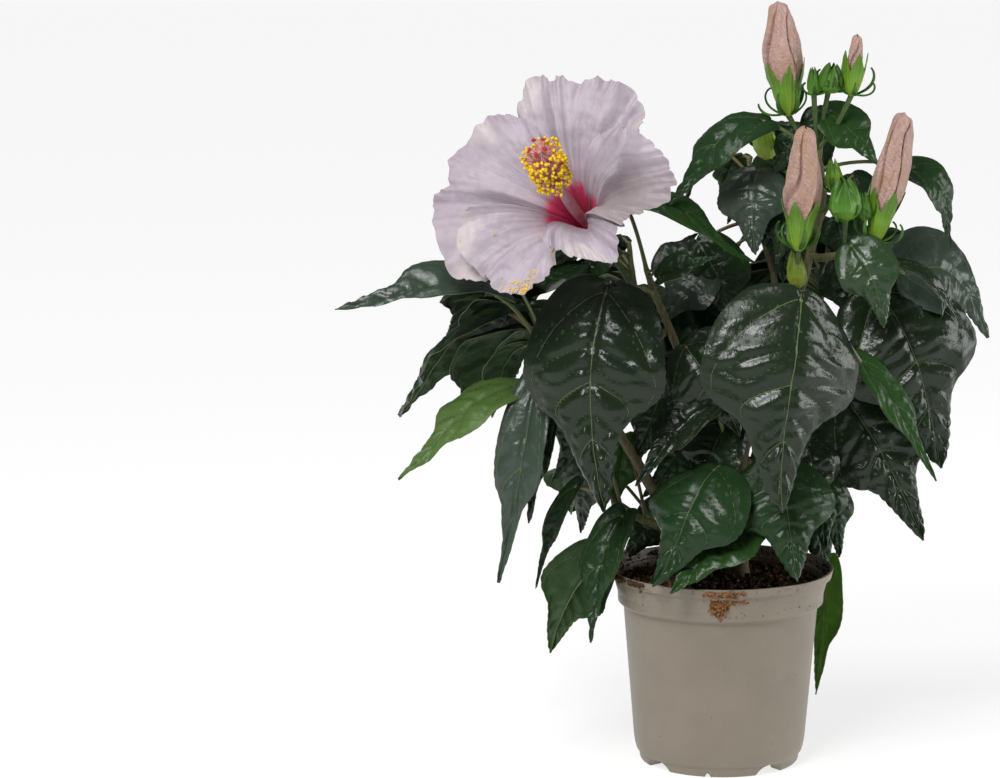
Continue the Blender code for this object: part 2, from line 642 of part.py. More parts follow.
def shoot_path(parent, parent_radii, fraction, points, radius):
    """The path of a shoot through points, from GAP off its parent's tip or side.

    It leaves at right angles to the face or bark that it meets, then bends to its way.
    """
    place, ahead = along(parent, fraction)
    clear = GAP * 1.4
    if fraction >= 1.0:
        first = place + ahead * clear
        second = first + ahead * 2 * MM
    else:
        out = points[0] - place
        out = (out - ahead * out.dot(ahead)).normalized()
        parent_radius = parent_radii[0] + (parent_radii[-1] - parent_radii[0]) * fraction
        first = place + out * (parent_radius * MM + clear)
        second = first + out * (radius * 1.2 + 0.5) * MM
    return [first] + smooth_path([second] + points, 2)


def make_limb(name, path, parts, material, taken):
    limb = LIMBS[name]
    radii = limb.radii
    if limb.parent == "soil":
        radii = (radii[0] * 1.45, radii[0], *[radii[0] + (radii[1] - radii[0]) * i / 4
                                              for i in range(1, 5)])
    thing = tube(name, path, radii, limb.sides, parts)
    thing.data.materials.append(material)
    for face in thing.data.polygons:
        face.use_smooth = True
    taken.add_mesh(thing.data)


# ---- Flower ----

def axis_frame(axis):
    """Two directions across an axis: the first as near to up as can be."""
    forward = Vector(axis).normalized()
    above = (UP - forward * UP.dot(forward)).normalized()
    return forward, above, above.cross(forward)


def petal_profile(petal, u):
    """Distance from the flower's axis and height over its base, at u of a petal's length (mm)."""
    throat = (THROAT_RADIUS + 2.0, THROAT_DEPTH)
    shoulder = (petal.reach * 0.42, petal.rise + 6)
    corners = ((THROAT_RADIUS, 2.0), throat, shoulder, (petal.reach, petal.rise))
    weights = ((1 - u) ** 3, 3 * u * (1 - u) ** 2, 3 * u * u * (1 - u), u ** 3)
    return [sum(weight * corner[i] for weight, corner in zip(weights, corners)) for i in range(2)]


def petal_point(number, u, v):
    """A point at u of a petal's length and v from -1, one edge, to 1, the other."""
    petal = PETALS[number]
    forward, above, beside = axis_frame(FLOWER_AXIS)
    radius, height = petal_profile(petal, u)
    rounding = math.sqrt(max(1 - max((u - 0.60) / 0.42, 0) ** 2.4, 0.02))
    turn = math.radians(petal.turn + petal.half_angle * v * rounding)
    lift = v * PETAL_OVERLAP * min(1, u * 3)
    ruffle = PETAL_RUFFLE * u ** 3 * math.sin(3.2 * math.pi * v + number * 1.7)
    outward = above * math.cos(turn) + beside * math.sin(turn)
    return metres(FLOWER_BASE) + (outward * radius + forward * (height + lift + ruffle)) * MM


def make_flower(path, parts, material):
    forward, above, beside = axis_frame(FLOWER_AXIS)
    base = metres(FLOWER_BASE)
    pieces = [tube("flower_stalk", path + [base - forward * 6 * MM, base], (1.7, 1.5, 1.6), 1, parts),
              tube("flower_calyx", [base + forward * height * MM for height, _ in CALYX_CUP],
                   [radius for _, radius in CALYX_CUP], 2, parts)]
    for number in range(len(PETALS)):
        def place(u, v, number=number):
            return petal_point(number, u, v)
        pieces.append(sheet(f"petal_{number}", 5, 4, place, PETAL_THICKNESS * MM, parts))
    column = [base + (forward * COLUMN_LENGTH * t + above * COLUMN_BEND * t * t) * MM
              for t in (0.02, 0.3, 0.55, 0.8, 1.0)]
    pieces.append(tube("column", column, (COLUMN_RADIUS + 0.6, COLUMN_RADIUS, COLUMN_RADIUS), 1, parts))
    for number in range(STIGMAS):
        spot, ahead = along(column, 0.97)
        turn = 2 * math.pi * number / STIGMAS
        lean = (above * math.cos(turn) + beside * math.sin(turn)) * 0.5 + ahead
        tip = spot + lean.normalized() * STIGMA_LENGTH * MM
        pieces.append(tube(f"stigma_{number}", [spot, tip], (0.6, 0.9), 0, parts))
    for number in range(ANTHERS):
        spot, ahead = along(column, 0.62 + 0.33 * number / ANTHERS)
        turn = math.radians(number * GOLDEN_ANGLE)
        lean = above * math.cos(turn) + beside * math.sin(turn) + ahead * 0.35
        tip = spot + lean.normalized() * FILAMENT_LENGTH * MM
        pieces.append(tube(f"filament_{number}", [spot, tip], (0.6, 0.6), 0, parts))
        bpy.ops.mesh.primitive_ico_sphere_add(subdivisions=1, radius=ANTHER_RADIUS * MM, location=tip)
        anther = bpy.context.object
        anther.name = f"anther_{number}"
        pieces.append(anther)
    return join_pieces("flower", pieces, parts, material)


# ---- Buds ----

def bud_pieces(name, bud, root, parts):
    """Stalk, calyx, furled petals and bracts of one bud, as overlapping closed pieces."""
    base, tip = metres(bud.base), metres(bud.tip)
    forward, above, beside = axis_frame(tip - base)
    inside_base = base + forward * 2 * MM
    bow = (root + base) / 2 - forward * (base - root).length * 0.12
    stalk = [root, bow, base, inside_base]
    pieces = [tube(name + "_stalk", stalk, (1.5, 1.3, 1.6), 0, parts)]
    length = (tip - base).length
    sides = 2 if bud.petals > 6 else 1
    calyx = [(0, 0.35), (0.14, 0.85), (0.5, 1.0), (1.0, 0.88 if bud.petals else 0.3)]
    heights = [base + forward * share * bud.calyx_length * MM for share, _ in calyx]
    radii = [share * bud.calyx_radius for _, share in calyx]
    pieces.append(tube(name + "_calyx", heights, radii, sides, parts))
    if bud.petals:
        furled = [(0.2, 0.5), (0.48, 1.0), (0.72, 0.86), (0.90, 0.5), (1.0, 0.22)]
        heights = [base + forward * share * length for share, _ in furled]
        radii = [share * bud.petals for _, share in furled]
        pieces.append(tube(name + "_petals", heights, radii, sides, parts))
    for number in range(bud.bracts):
        turn = 2 * math.pi * (number + 0.3) / bud.bracts
        out = above * math.cos(turn) + beside * math.sin(turn)
        reach = bud.calyx_radius * MM
        path = [inside_base, inside_base + out * reach * 1.3 + forward * 3 * MM,
                inside_base + out * reach * 1.4 + forward * 12 * MM]
        pieces.append(tube(f"{name}_bract_{number}", path, (0.9, 0.8, 0.5), 0, parts))
    return pieces


# ---- Assembly ----

def stem_path(mass, paths):
    points = [metres(point) for point in mass.stem]
    return shoot_path(paths[mass.limb], LIMBS[mass.limb].radii, mass.at, points,
                      stem_radii(mass)[0])


def stem_radii(mass):
    start = min(LIMBS[mass.limb].radii[-1], 2.2)
    return (start, max(start * 0.7, 1.3))


def plan_leaves(taken, stems):
    """Every leaf of every mass, as (stalk root, blade), the placed ones first."""
    leaves = {name: [] for name in MASSES}
    for leaf in LEAVES.values():
        root, _ = along(stems[leaf.mass], leaf.root)
        blade = blade_of(leaf)
        taken.add_leaf(blade, stalk_path(root, blade), leaf.mass)
        leaves[leaf.mass].append((root, blade))
    for seed, (name, mass) in enumerate(MASSES.items()):
        if mass.seeded:
            rng = random.Random(seed + 11)
            leaves[name] += grow_leaves(name, stems[name], taken, rng)
    return leaves


def make_mass(name, stem, stem_tube, leaves, parts, material):
    pieces = [stem_tube]
    for number, (root, blade) in enumerate(leaves):
        label = f"{name}_{number}"
        pieces.append(tube(label + "_stalk", stalk_path(root, blade),
                           (PETIOLE_RADIUS * 1.2, PETIOLE_RADIUS), 0, parts))
        pieces.append(blade_sheet(label + "_blade", blade, parts))
    for label, bud in BUDS.items():
        if bud.mass == name:
            root, _ = along(stem, bud.root)
            pieces += bud_pieces("bud_" + label, bud, root, parts)
    return join_pieces(name, pieces, parts, material)


def build():
    clear_scene()
    parts = new_collection("hibiscus_shrub")
    cutters = new_collection("cutters")
    bark = make_material("bark", BARK_OLIVE, 0.7)
    foliage = make_material("leaf", LEAF_GREEN, 0.35)
    young = make_material("bud_green", YOUNG_GREEN, 0.45)
    taken = Space()
    pot = make_pot(parts, cutters, make_material("pot_plastic", TAUPE_PLASTIC, 0.45))
    soil = make_soil(parts, make_material("peat", PEAT_BROWN, 0.95))
    taken.add_mesh(evaluated_mesh(pot))
    taken.add_mesh(evaluated_mesh(soil))
    paths = limb_paths()
    for name, path in paths.items():
        make_limb(name, path, parts, bark, taken)
    flower = make_flower(shoot_path(paths["bough_flower"], LIMBS["bough_flower"].radii, 0.8,
                                    [metres(point) for point in FLOWER_STALK], 1.7),
                         parts, make_material("petal", PETAL_LAVENDER, 0.6))
    taken.add_mesh(flower.data)
    stems = {}
    tubes = {}
    for name, mass in {**BUD_STEMS, **MASSES}.items():
        stems[name] = stem_path(mass, paths)
        tubes[name] = tube(name + "_stem", stems[name], stem_radii(mass), 0, parts)
        taken.add_mesh(tubes[name].data, name)
    for name in BUD_STEMS:
        taken.add_mesh(make_mass(name, stems[name], tubes[name], [], parts, young).data)
    leaves = plan_leaves(taken, stems)
    for name in MASSES:
        make_mass(name, stems[name], tubes[name], leaves[name], parts, foliage)


build()
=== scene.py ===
"""Looks of the potted hibiscus shrub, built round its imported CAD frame.

Each mass of foliage grows by the rule of the part's source: the same stems, placed leaves and
seeded leaves, then finer ones in the room that is left. The blades get veins, quilting and teeth.
Sizes and places are in millimetres, which MM turns into metres. +X is right, -Y front, +Z up.
"""

import json
import math
import random
from collections import namedtuple

import bpy
import numpy as np
from mathutils import Matrix, Vector
from mathutils.bvhtree import BVHTree

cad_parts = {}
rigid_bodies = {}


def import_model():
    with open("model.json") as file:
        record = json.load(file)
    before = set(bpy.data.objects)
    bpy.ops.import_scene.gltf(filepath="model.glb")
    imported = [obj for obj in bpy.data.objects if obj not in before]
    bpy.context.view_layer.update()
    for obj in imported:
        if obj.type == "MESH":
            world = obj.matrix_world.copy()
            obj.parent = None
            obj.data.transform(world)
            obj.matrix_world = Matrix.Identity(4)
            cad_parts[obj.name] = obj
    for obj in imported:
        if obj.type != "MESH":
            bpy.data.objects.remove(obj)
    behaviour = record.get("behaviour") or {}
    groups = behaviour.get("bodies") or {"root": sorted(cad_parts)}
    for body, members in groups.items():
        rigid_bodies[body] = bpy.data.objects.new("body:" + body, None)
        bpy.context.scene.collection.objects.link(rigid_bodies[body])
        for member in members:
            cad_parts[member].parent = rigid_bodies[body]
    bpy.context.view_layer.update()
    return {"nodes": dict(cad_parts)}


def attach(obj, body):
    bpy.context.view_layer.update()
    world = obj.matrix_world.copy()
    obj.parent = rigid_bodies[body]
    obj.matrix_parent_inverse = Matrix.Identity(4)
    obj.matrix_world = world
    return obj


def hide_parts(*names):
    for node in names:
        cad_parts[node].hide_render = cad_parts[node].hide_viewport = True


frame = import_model()

MM = 0.001
GAP = 0.3 * MM
UP = Vector((0, 0, 1))
GOLDEN_ANGLE = 137.5

# ---- Pot and soil (mm) ----
POT_RADIUS = 65.0
POT_HEIGHT = 114.0
LIP_BOTTOM = 108.3
BAND_RADIUS = 59.2
BAND_BOTTOM = 92.5
WALL_TOP_RADIUS = 56.0
WALL_BOTTOM_RADIUS = 48.8
FOOT_RADIUS = 45.6
FOOT_HEIGHT = 6.0
FOOT_WIDTH = 9.0
BOSS_RADIUS = 24.0
POT_WALL = 1.4
# Arches through the foot ring: turn (degrees), half-width and height.
FOOT_GAPS = [(-50, 9.5, 5.6), (40, 9.5, 5.6), (130, 9.5, 5.6), (220, 9.5, 5.6), (-98, 1.8, 2.4)]
SOIL_TOP = 106.0

# ---- The seeded leaves: lowest and highest of each measure (mm, degrees, shares) ----
STALK_LENGTH = (22, 48)
STALK_RISE = (10, 50)
LEAF_LENGTH = (78, 116)
LEAF_SHAPE = (0.60, 0.70)
LEAF_DROOP = (25, 72)
LEAF_ARCH = (0.08, 0.16)
LEAF_FOLD = (-12, 14)
LEAF_VEER = 25
LEAF_SWAY = 0.05
LEAF_TWIST = 15
TRIES = 40
PETIOLE_RADIUS = 1.15
LARGE_LEAF = 70.0
BLADE_THICKNESS = 0.38

Limb = namedtuple("Limb", "parent at points radii")
LIMBS = {
    "trunk": Limb("soil", 0, [(10, 12, SOIL_TOP), (8, 12, 148), (13, 11, 186)], (5.2, 3.7)),
    "stem_left": Limb("soil", 0, [(-12, 9, SOIL_TOP), (-47, 5, 170), (-66, 2, 202)], (3.8, 2.5)),
    "bough_flower": Limb("trunk", 0.62, [(-22, 3, 229), (-38, -3, 270)], (2.8, 2.1)),
    "bough_top": Limb("trunk", 1.0, [(27, 10, 224), (43, 9, 270), (50, 7, 298)], (3.4, 2.4)),
    "bough_right": Limb("trunk", 0.86, [(44, 21, 218), (70, 24, 256)], (2.6, 2.0)),
    "bough_low_right": Limb("trunk", 0.42, [(36, 26, 152), (60, 34, 178)], (2.3, 1.8)),
    "bough_front": Limb("bough_top", 0.62, [(40, -9, 264), (43, -22, 272)], (1.9, 1.7)),
    "bough_back_left": Limb("trunk", 0.74, [(-14, 42, 198), (-40, 66, 232)], (2.6, 2.0)),
    "bough_back_right": Limb("trunk", 0.56, [(24, 46, 184), (46, 78, 226)], (2.6, 2.0)),
    "bough_back_top": Limb("bough_top", 0.36, [(30, 34, 268), (22, 48, 300)], (2.2, 1.8)),
}

Mass = namedtuple("Mass", "limb at stem seeded turn space", defaults=(0, 0, None))
MASSES = {
    "foliage_front": Mass("bough_front", 1.0, [(45, -31, 278)]),
    "foliage_flower": Mass("bough_flower", 1.0, [(-44, -9, 288)]),
    "foliage_left": Mass("stem_left", 1.0, [(-90, -2, 228), (-110, -6, 252)],
                         5, 60, ((-215, 0, 120), (-60, 110, 320))),
    "foliage_low_left": Mass("stem_left", 0.34, [(-46, 4, 140), (-62, 2, 150)],
                             4, 100, ((-125, 10, 60), (-10, 130, 190))),
    "foliage_low_front": Mass("trunk", 0.30, [(6, -6, 150), (8, -16, 184)]),
    "foliage_right": Mass("bough_right", 1.0, [(78, 18, 286), (84, 14, 300)],
                          4, 20, ((60, 20, 190), (165, 120, 350))),
    "foliage_low_right": Mass("bough_low_right", 1.0, [(72, 32, 200), (72, 26, 216)],
                              5, 10, ((20, 20, 60), (140, 120, 230))),
    "foliage_crown": Mass("bough_top", 1.0, [(56, 7, 330), (52, 8, 356)],
                          3, 70, ((10, 15, 270), (125, 100, 390))),
    "foliage_back_left": Mass("bough_back_left", 1.0, [(-52, 80, 262), (-56, 86, 290)],
                              11, 40, ((-160, 15, 100), (10, 165, 350))),
    "foliage_back_right": Mass("bough_back_right", 1.0, [(58, 92, 258), (62, 98, 288)],
                               11, 0, ((-10, 25, 100), (160, 170, 350))),
    "foliage_back_top": Mass("bough_back_top", 1.0, [(16, 56, 326), (14, 60, 344)],
                             9, 80, ((-80, 15, 220), (115, 140, 395))),
}
BUD_STEMS = {
    "buds_front": Mass("bough_top", 0.80, [(42, -12, 284), (41, -20, 291)]),
    "buds_right": Mass("bough_top", 0.96, [(68, -4, 296), (80, -8, 300)]),
}

# Gaps through which the photograph shows sky: corners across and up (mm), seen from the front on
# the plane through the pot's axis. No grown leaf stands there.
SKY = [
    [(-62, 330), (-62, 420), (22, 420), (22, 381), (6, 378), (-14, 365), (-26, 346), (-27, 328)],
    [(-56, 305), (-48, 318), (-14, 314), (-14, 307), (-24, 300), (-39, 290), (-48, 296)],
    [(-15, 328), (-9, 346), (0, 355), (11, 361), (14, 355), (6, 342), (-1, 331), (-7, 318)],
    [(102, 333), (108, 341), (114, 338), (118, 319), (119, 303), (103, 306), (97, 313)],
    [(102, 420), (180, 420), (180, 290), (134, 299), (122, 304), (129, 327), (124, 343),
     (113, 355), (102, 367)],
    [(-114, 144), (-101, 150), (-104, 128), (-108, 105)],
    [(-107, 90), (-100, 116), (-89, 136), (-79, 127), (-73, 154), (-69, 134), (-74, 125),
     (-87, 121), (-97, 92)],
    [(72, 177), (83, 159), (85, 145), (74, 146)],
    [(61, 352), (78, 352), (76, 339), (62, 339)],
    [(-3, 312), (8, 306), (10, 292), (-2, 294)],
    [(129, 209), (150, 209), (150, 143), (131, 147), (125, 171)],
]
FRONT_VIEW = (0, -2200, 590)

# The placed leaves of each mass: the stalk's root along the mass's stem, the blade's base, tip,
# width and facing, its tint, then its arch, fold, sway and twist.
LEAVES = {
    "foliage_front": [
        (0.95, (43, -50, 281), (34, -78, 161), 98, (0.42, -1, 0.35), "dark", 0.10, -19, -0.05),
        (0.5, (75, -8, 238), (122, -16, 168), 22, (0.7, -0.8, 0.3), "fresh", 0.05, 15, 0.02)],
    "foliage_flower": [
        (0.35, (-64, -48, 284), (-65, -70, 159), 80, (-0.12, -1, 0.35),
         "dark", 0.09, -8, -0.06, 10),
        (0.9, (-37, -34, 285), (-4, -40, 299), 24, (0.2, -0.6, 1), "mid", 0.05, 20, 0),
        (0.75, (-36, -22, 287), (-14, -4, 308), 18, (-0.5, -0.8, 0.4), "silvery", 0.05, 15, 0.05),
        (0.98, (-60, 8, 318), (18, 4, 290), 26, (0.1, -0.5, 1), "fresh", 0.22, 12, -0.04)],
    "foliage_left": [
        (0.98, (-125, -10, 270), (-218, -45, 268), 46, (0.0, -0.35, 1), "silvery", 0.09, 25, 0),
        (0.45, (-114, -12, 219), (-183, -40, 170), 38, (-0.5, -0.5, 0.8), "young", 0.10, 8, 0),
        (0.6, (-105, -24, 226), (-126, -40, 111), 32, (-0.3, -1, 0.2),
         "silvery", 0.05, 20, 0.02, 20),
        (0.25, (-95, -14, 212), (-110, -22, 142), 28, (-0.7, -0.8, 0.2), "dark", 0.06, 20, 0)],
    "foliage_low_left": [
        (0.6, (-82, 6, 161), (-107, 0, 99), 15, (-0.8, -0.8, 0.2), "mid", 0.04, 20, -0.04),
        (0.95, (-66, -8, 121), (-97, -30, 68), 44, (-0.8, 0.9, -0.2), "silvery", 0, 12, 0.10, 30),
        (0.8, (-54, -18, 149), (-73, -46, 78), 32, (-0.6, -0.9, 0.3), "mid", 0.05, 20, -0.04, 20),
        (0.3, (-76, 24, 176), (-82, 30, 126), 26, (-0.4, -1, 0.3), "silvery", 0.10, 0, 0),
        (0.5, (-56, 16, 188), (-63, 10, 142), 24, (0.4, -1, 0.2), "bright", 0.05, 10, 0)],
    "foliage_low_front": [
        (0.95, (-22, -22, 247), (10, -34, 196), 56, (-0.4, -1, 0.5), "dark", 0.12, -5, 0.05),
        (0.9, (-2, -36, 178), (-38, -68, 116), 62, (-0.5, -1, 0.6), "mid", 0.14, -8, 0.05),
        (0.75, (30, -30, 182), (43, -62, 119), 60, (0.2, -1, 0.35), "mid", 0.10, -10, 0),
        (0.3, (12, -28, 141), (-28, -75, 114), 50, (-0.2, -0.6, 1), "fresh", 0.12, 8, 0.03),
        (0.98, (4, -18, 202), (-16, -30, 158), 42, (-0.6, -1, 0.4), "dark", 0.06, 8, 0),
        (0.85, (-2, -30, 214), (-48, -52, 170), 32, (-0.4, -0.8, 0.9), "dark", 0.06, 25, -0.04)],
    "foliage_right": [
        (0.3, (86, 18, 274), (126, 8, 171), 84, (0.3, -1, 0.35), "dark", 0.10, -6, 0.04),
        (0.8, (98, 16, 281), (153, 34, 243), 58, (0.3, -0.8, 0.8), "silvery", 0.13, -5, 0.27),
        (0.95, (94, -8, 292), (141, -2, 250), 17, (0.6, -0.4, 0.9), "dark", 0.12, 20, 0),
        (0.9, (70, -22, 305), (90, -36, 259), 34, (-0.1, -1, 0.5), "light", 0.12, 0, 0.08)],
    "foliage_low_right": [
        (0.9, (66, 14, 216), (116, 0, 130), 58, (0.15, -1, 0.3), "dark", 0.04, -6, 0.03),
        (0.6, (44, 4, 192), (60, -16, 143), 34, (0.4, -1, 0.5), "dark", 0.10, 0, 0),
        (0.35, (54, 28, 166), (60, 2, 124), 32, (0.4, -1, 0.7), "mid", 0.12, 0, 0),
        (0.45, (63, 47, 110), (57, 45, 27), 24, (0.6, 0.8, 0.1), "bright", 0.02, 5, 0)],
    "foliage_crown": [
        (0.9, (26, 8, 370), (-34, -8, 322), 33, (-0.5, -0.6, 0.7), "mid", 0.16, 5, 0),
        (0.85, (55, 10, 376), (87, 0, 346), 33, (0.5, -0.9, 0.7), "fresh", 0.06, 5, 0.05),
        (0.8, (101, 16, 344), (130, 22, 297), 28, (0.75, -0.6, 0.5), "mid", 0.20, 8, 0.10),
        (0.35, (20, 22, 342), (18, 0, 295), 42, (-0.25, -1, 0.5), "silvery", 0.12, -6, -0.04)],
}
# Small leaves seen through the gaps between the large ones.
FINE_PLACED = {
    "foliage_low_left": [
        (0.9, (-76, 20, 208), (-98, 12, 160), 28, (-0.3, -1, 0.4), "deep")],
    "foliage_low_front": [
        (0.9, (-32, 16, 218), (-54, 8, 170), 34, (-0.3, -1, 0.4), "deep"),
        (0.5, (-12, 16, 194), (-46, 6, 152), 30, (-0.4, -1, 0.5), "mid"),
        (0.1, (-28, 46, 146), (-62, 34, 106), 28, (-0.4, -1, 0.6), "deep")],
    "foliage_right": [
        (0.2, (66, 34, 292), (74, 26, 246), 34, (0.2, -1, 0.4), "deep"),
        (0.5, (64, 26, 314), (68, 20, 286), 22, (0, -1, 0.3), "mid")],
    "foliage_low_right": [
        (0.1, (44, 46, 150), (62, 38, 96), 32, (0.3, -1, 0.3), "deep"),
        (0.3, (56, 34, 160), (69, 26, 114), 28, (0.3, -1, 0.3), "mid")],
    "foliage_crown": [
        (0.75, (42, 20, 364), (26, 18, 338), 20, (-0.3, -1, 0.4), "mid"),
        (0.9, (52, 18, 378), (50, 14, 350), 20, (0, -1, 0.3), "mid"),
        (0.3, (72, 16, 340), (78, 12, 308), 26, (0.2, -1, 0.4), "deep"),
        (0.1, (34, 22, 322), (30, 14, 288), 24, (0, -1, 0.4), "deep")],
    "foliage_back_left": [
        (0.98, (-60, 92, 293), (-78, 112, 266), 26, (-0.4, 0.6, 0.7), "fresh"),
        (0.9, (-62, 78, 286), (-84, 74, 262), 22, (-0.6, -0.2, 0.8), "mid"),
        (0.35, (-40, 92, 238), (-54, 112, 186), 38, (-0.2, 1, 0.4), "mid"),
        (0.2, (-22, 84, 222), (-10, 104, 172), 36, (0.1, 1, 0.4), "deep"),
        (0.5, (-44, 100, 262), (-28, 124, 214), 36, (0.2, 1, 0.5), "mid")],
    "foliage_back_right": [
        (0.98, (64, 104, 291), (76, 128, 268), 28, (0.3, 0.6, 0.7), "fresh"),
        (0.2, (30, 96, 236), (16, 118, 188), 36, (-0.2, 1, 0.4), "deep")],
    "foliage_back_top": [
        (0.1, (-10, 36, 281), (-38, 20, 252), 34, (-0.3, -0.8, 0.7), "silvery"),
        (0.3, (-16, 42, 298), (8, 28, 242), 40, (-0.1, -1, 0.5), "deep"),
        (0.98, (11, 66, 345), (-2, 82, 318), 26, (-0.4, 0.5, 0.7), "fresh"),
        (0.75, (10, 58, 336), (2, 52, 306), 22, (-0.5, -0.6, 0.6), "mid"),
        (0.3, (4, 70, 280), (-10, 96, 234), 34, (-0.2, 1, 0.5), "mid")],
}
FINE_LEAVES = {"foliage_left": 3, "foliage_low_left": 2, "foliage_right": 4, "foliage_low_right": 3,
               "foliage_back_left": 8, "foliage_back_right": 9, "foliage_back_top": 9,
               "foliage_crown": 3}
FINE_SIZE = 0.55
REGROWN = 1.7               # smaller leaves grown for each one that hid the sky
REGROWN_SIZE = 0.75
SEEDED_TINTS = ("dark", "deep", "dark", "mid", "deep", "dark", "deep")

# ---- Flower ----
FLOWER_BASE = (-69, -38, 309)
FLOWER_AXIS = (-0.40, -0.78, 0.48)
FLOWER_STALK = [(-57, -2, 284), (-64, -20, 298)]
THROAT_RADIUS = 3.2
THROAT_DEPTH = 30.0
PETAL_OVERLAP = 3.0
PETAL_THICKNESS = 0.45
# Each petal's edge, from one side to the other: turn round the axis (degrees from above, towards
# the right), reach from the axis and rise along it (mm).
PETALS = [
    [(314, 56, 48), (319, 66, 50), (325, 82, 49), (332, 88, 47), (339, 77, 51), (345, 78, 50),
     (352, 73, 54), (361, 75, 51), (370, 75, 48), (379, 76, 41), (387, 68, 45), (394, 60, 50),
     (402, 50, 55)],
    [(22, 44, 58), (34, 52, 63), (45, 54, 68), (54, 58, 71), (62, 65, 70), (70, 70, 64),
     (77, 72, 60), (84, 70, 58), (92, 65, 61), (100, 59, 65), (110, 52, 68)],
    [(98, 46, 66), (107, 50, 69), (114, 50, 62), (121, 54, 58), (129, 55, 57), (137, 49, 60),
     (145, 42, 60), (154, 37, 63), (162, 35, 65), (170, 30, 66)],
    [(156, 30, 62), (164, 33, 60), (171, 38, 56), (179, 47, 53), (190, 54, 51), (202, 59, 50),
     (214, 58, 53), (224, 60, 52), (237, 61, 56), (250, 58, 58), (256, 50, 60)],
    [(216, 56, 46), (225, 66, 46), (233, 76, 45), (244, 77, 46), (257, 80, 46), (268, 87, 45),
     (276, 76, 50), (288, 80, 50), (300, 77, 50), (309, 74, 51), (320, 64, 52), (330, 50, 52)],
]
TOP_PETAL, RIGHT_PETAL, LOW_PETAL = 0, 1, 3
# Where each petal is bleached: along it, across it, and how wide.
PALE = [[(1.0, -0.62, 0.14), (0.90, 0.88, 0.22), (0.65, 0.92, 0.20)], [(1.02, -0.1, 0.3)],
        [(1.0, 0.2, 0.3)], [(1.02, 0.7, 0.2)], [(0.98, -0.75, 0.22), (1.02, 0.5, 0.1)]]
COLUMN_LENGTH = 86.0
COLUMN_BEND = 15.0
COLUMN_RADIUS = 2.5
ANTHERS = 250
STIGMAS = 5

# A bud: its stem and the root on it, base, tip, the furled petals' radius or 0 where it is closed,
# the calyx's length and radius, how many bracts, the calyx's colour and the turn of its lobes.
BUDS = [
    ("foliage_crown", 0.95, (36, 5, 374), (29, 5, 438), 10.2, 32, 9.5, 7, "green", 0.5),
    ("foliage_crown", 0.98, (71, 0, 386), (74, 0, 420), 4.5, 25, 7.0, 6, "green", 0),
    ("foliage_crown", 0.7, (25, 26, 347), (19, 26, 375), 0, 27, 7.4, 0, "pale", 0),
    ("foliage_crown", 0.99, (58, 0, 388), (60, -5, 402), 0, 18, 7.5, 7, "deep", 0),
    ("foliage_crown", 0.45, (63, -4, 331), (61, -4, 350), 0, 20, 5.5, 5, "green", 0),
    ("buds_front", 0.95, (42, -24, 301), (45, -30, 371), 10.0, 30, 8.5, 6, "green", 0.35),
    ("buds_right", 0.95, (85, -10, 304), (101, -12, 377), 9.6, 32, 8.0, 7, "green", 0.2),
    ("buds_right", 0.6, (68, -22, 318), (67, -25, 341), 0, 25, 9.5, 8, "deep", 0.3),
    ("buds_right", 0.75, (79, -14, 317), (78, -17, 334), 0, 17, 5.0, 6, "deep", 0),
    ("foliage_crown", 0.97, (50, -4, 386), (49, -6, 405), 0, 17, 4.0, 5, "deep", 0),
    ("buds_front", 0.8, (42, -18, 279), (40, -18, 300), 0, 22, 6.0, 0, "olive", 0),
]


# ---- Mesh helpers ----

def metres(point):
    return Vector(point) * MM


def direction(degrees):
    turn = math.radians(degrees)
    return Vector((math.cos(turn), math.sin(turn), 0))


def unit(rows):
    return rows / np.maximum(np.linalg.norm(rows, axis=-1, keepdims=True), 1e-12)


def hill(x, at, wide):
    """1 at the given place, falling smoothly to 0 on both sides."""
    return np.exp(-((x - at) / wide) ** 2)


def running(steps):
    """The running total of the steps, from 0."""
    return np.concatenate([[0], np.cumsum(steps)])


def circle(count):
    """Even turns of a full circle."""
    return np.linspace(0, 2 * np.pi, count, endpoint=False)


def ring(turn, radius, height=0):
    """Points at a turn, radius and height round the vertical axis."""
    return np.stack(np.broadcast_arrays(radius * np.cos(turn), radius * np.sin(turn), height), -1)


def linked(name, data):
    """A new object in the scene."""
    thing = bpy.data.objects.new(name, data)
    bpy.context.scene.collection.objects.link(thing)
    return thing


def evaluated_mesh(thing):
    """The object's final mesh; the object itself is removed."""
    bpy.context.view_layer.update()
    graph = bpy.context.evaluated_depsgraph_get()
    mesh = bpy.data.meshes.new_from_object(thing.evaluated_get(graph))
    bpy.data.objects.remove(thing)
    return mesh


def show(mesh, slot, *replaced):
    """Puts a finished mesh in the scene, smooth, as a piece that stands for CAD nodes."""
    mesh.polygons.foreach_set("use_smooth", np.ones(len(mesh.polygons), bool))
    thing = linked(mesh.name, mesh)
    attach(thing, "root")
    if replaced:
        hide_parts(*replaced)
    return thing


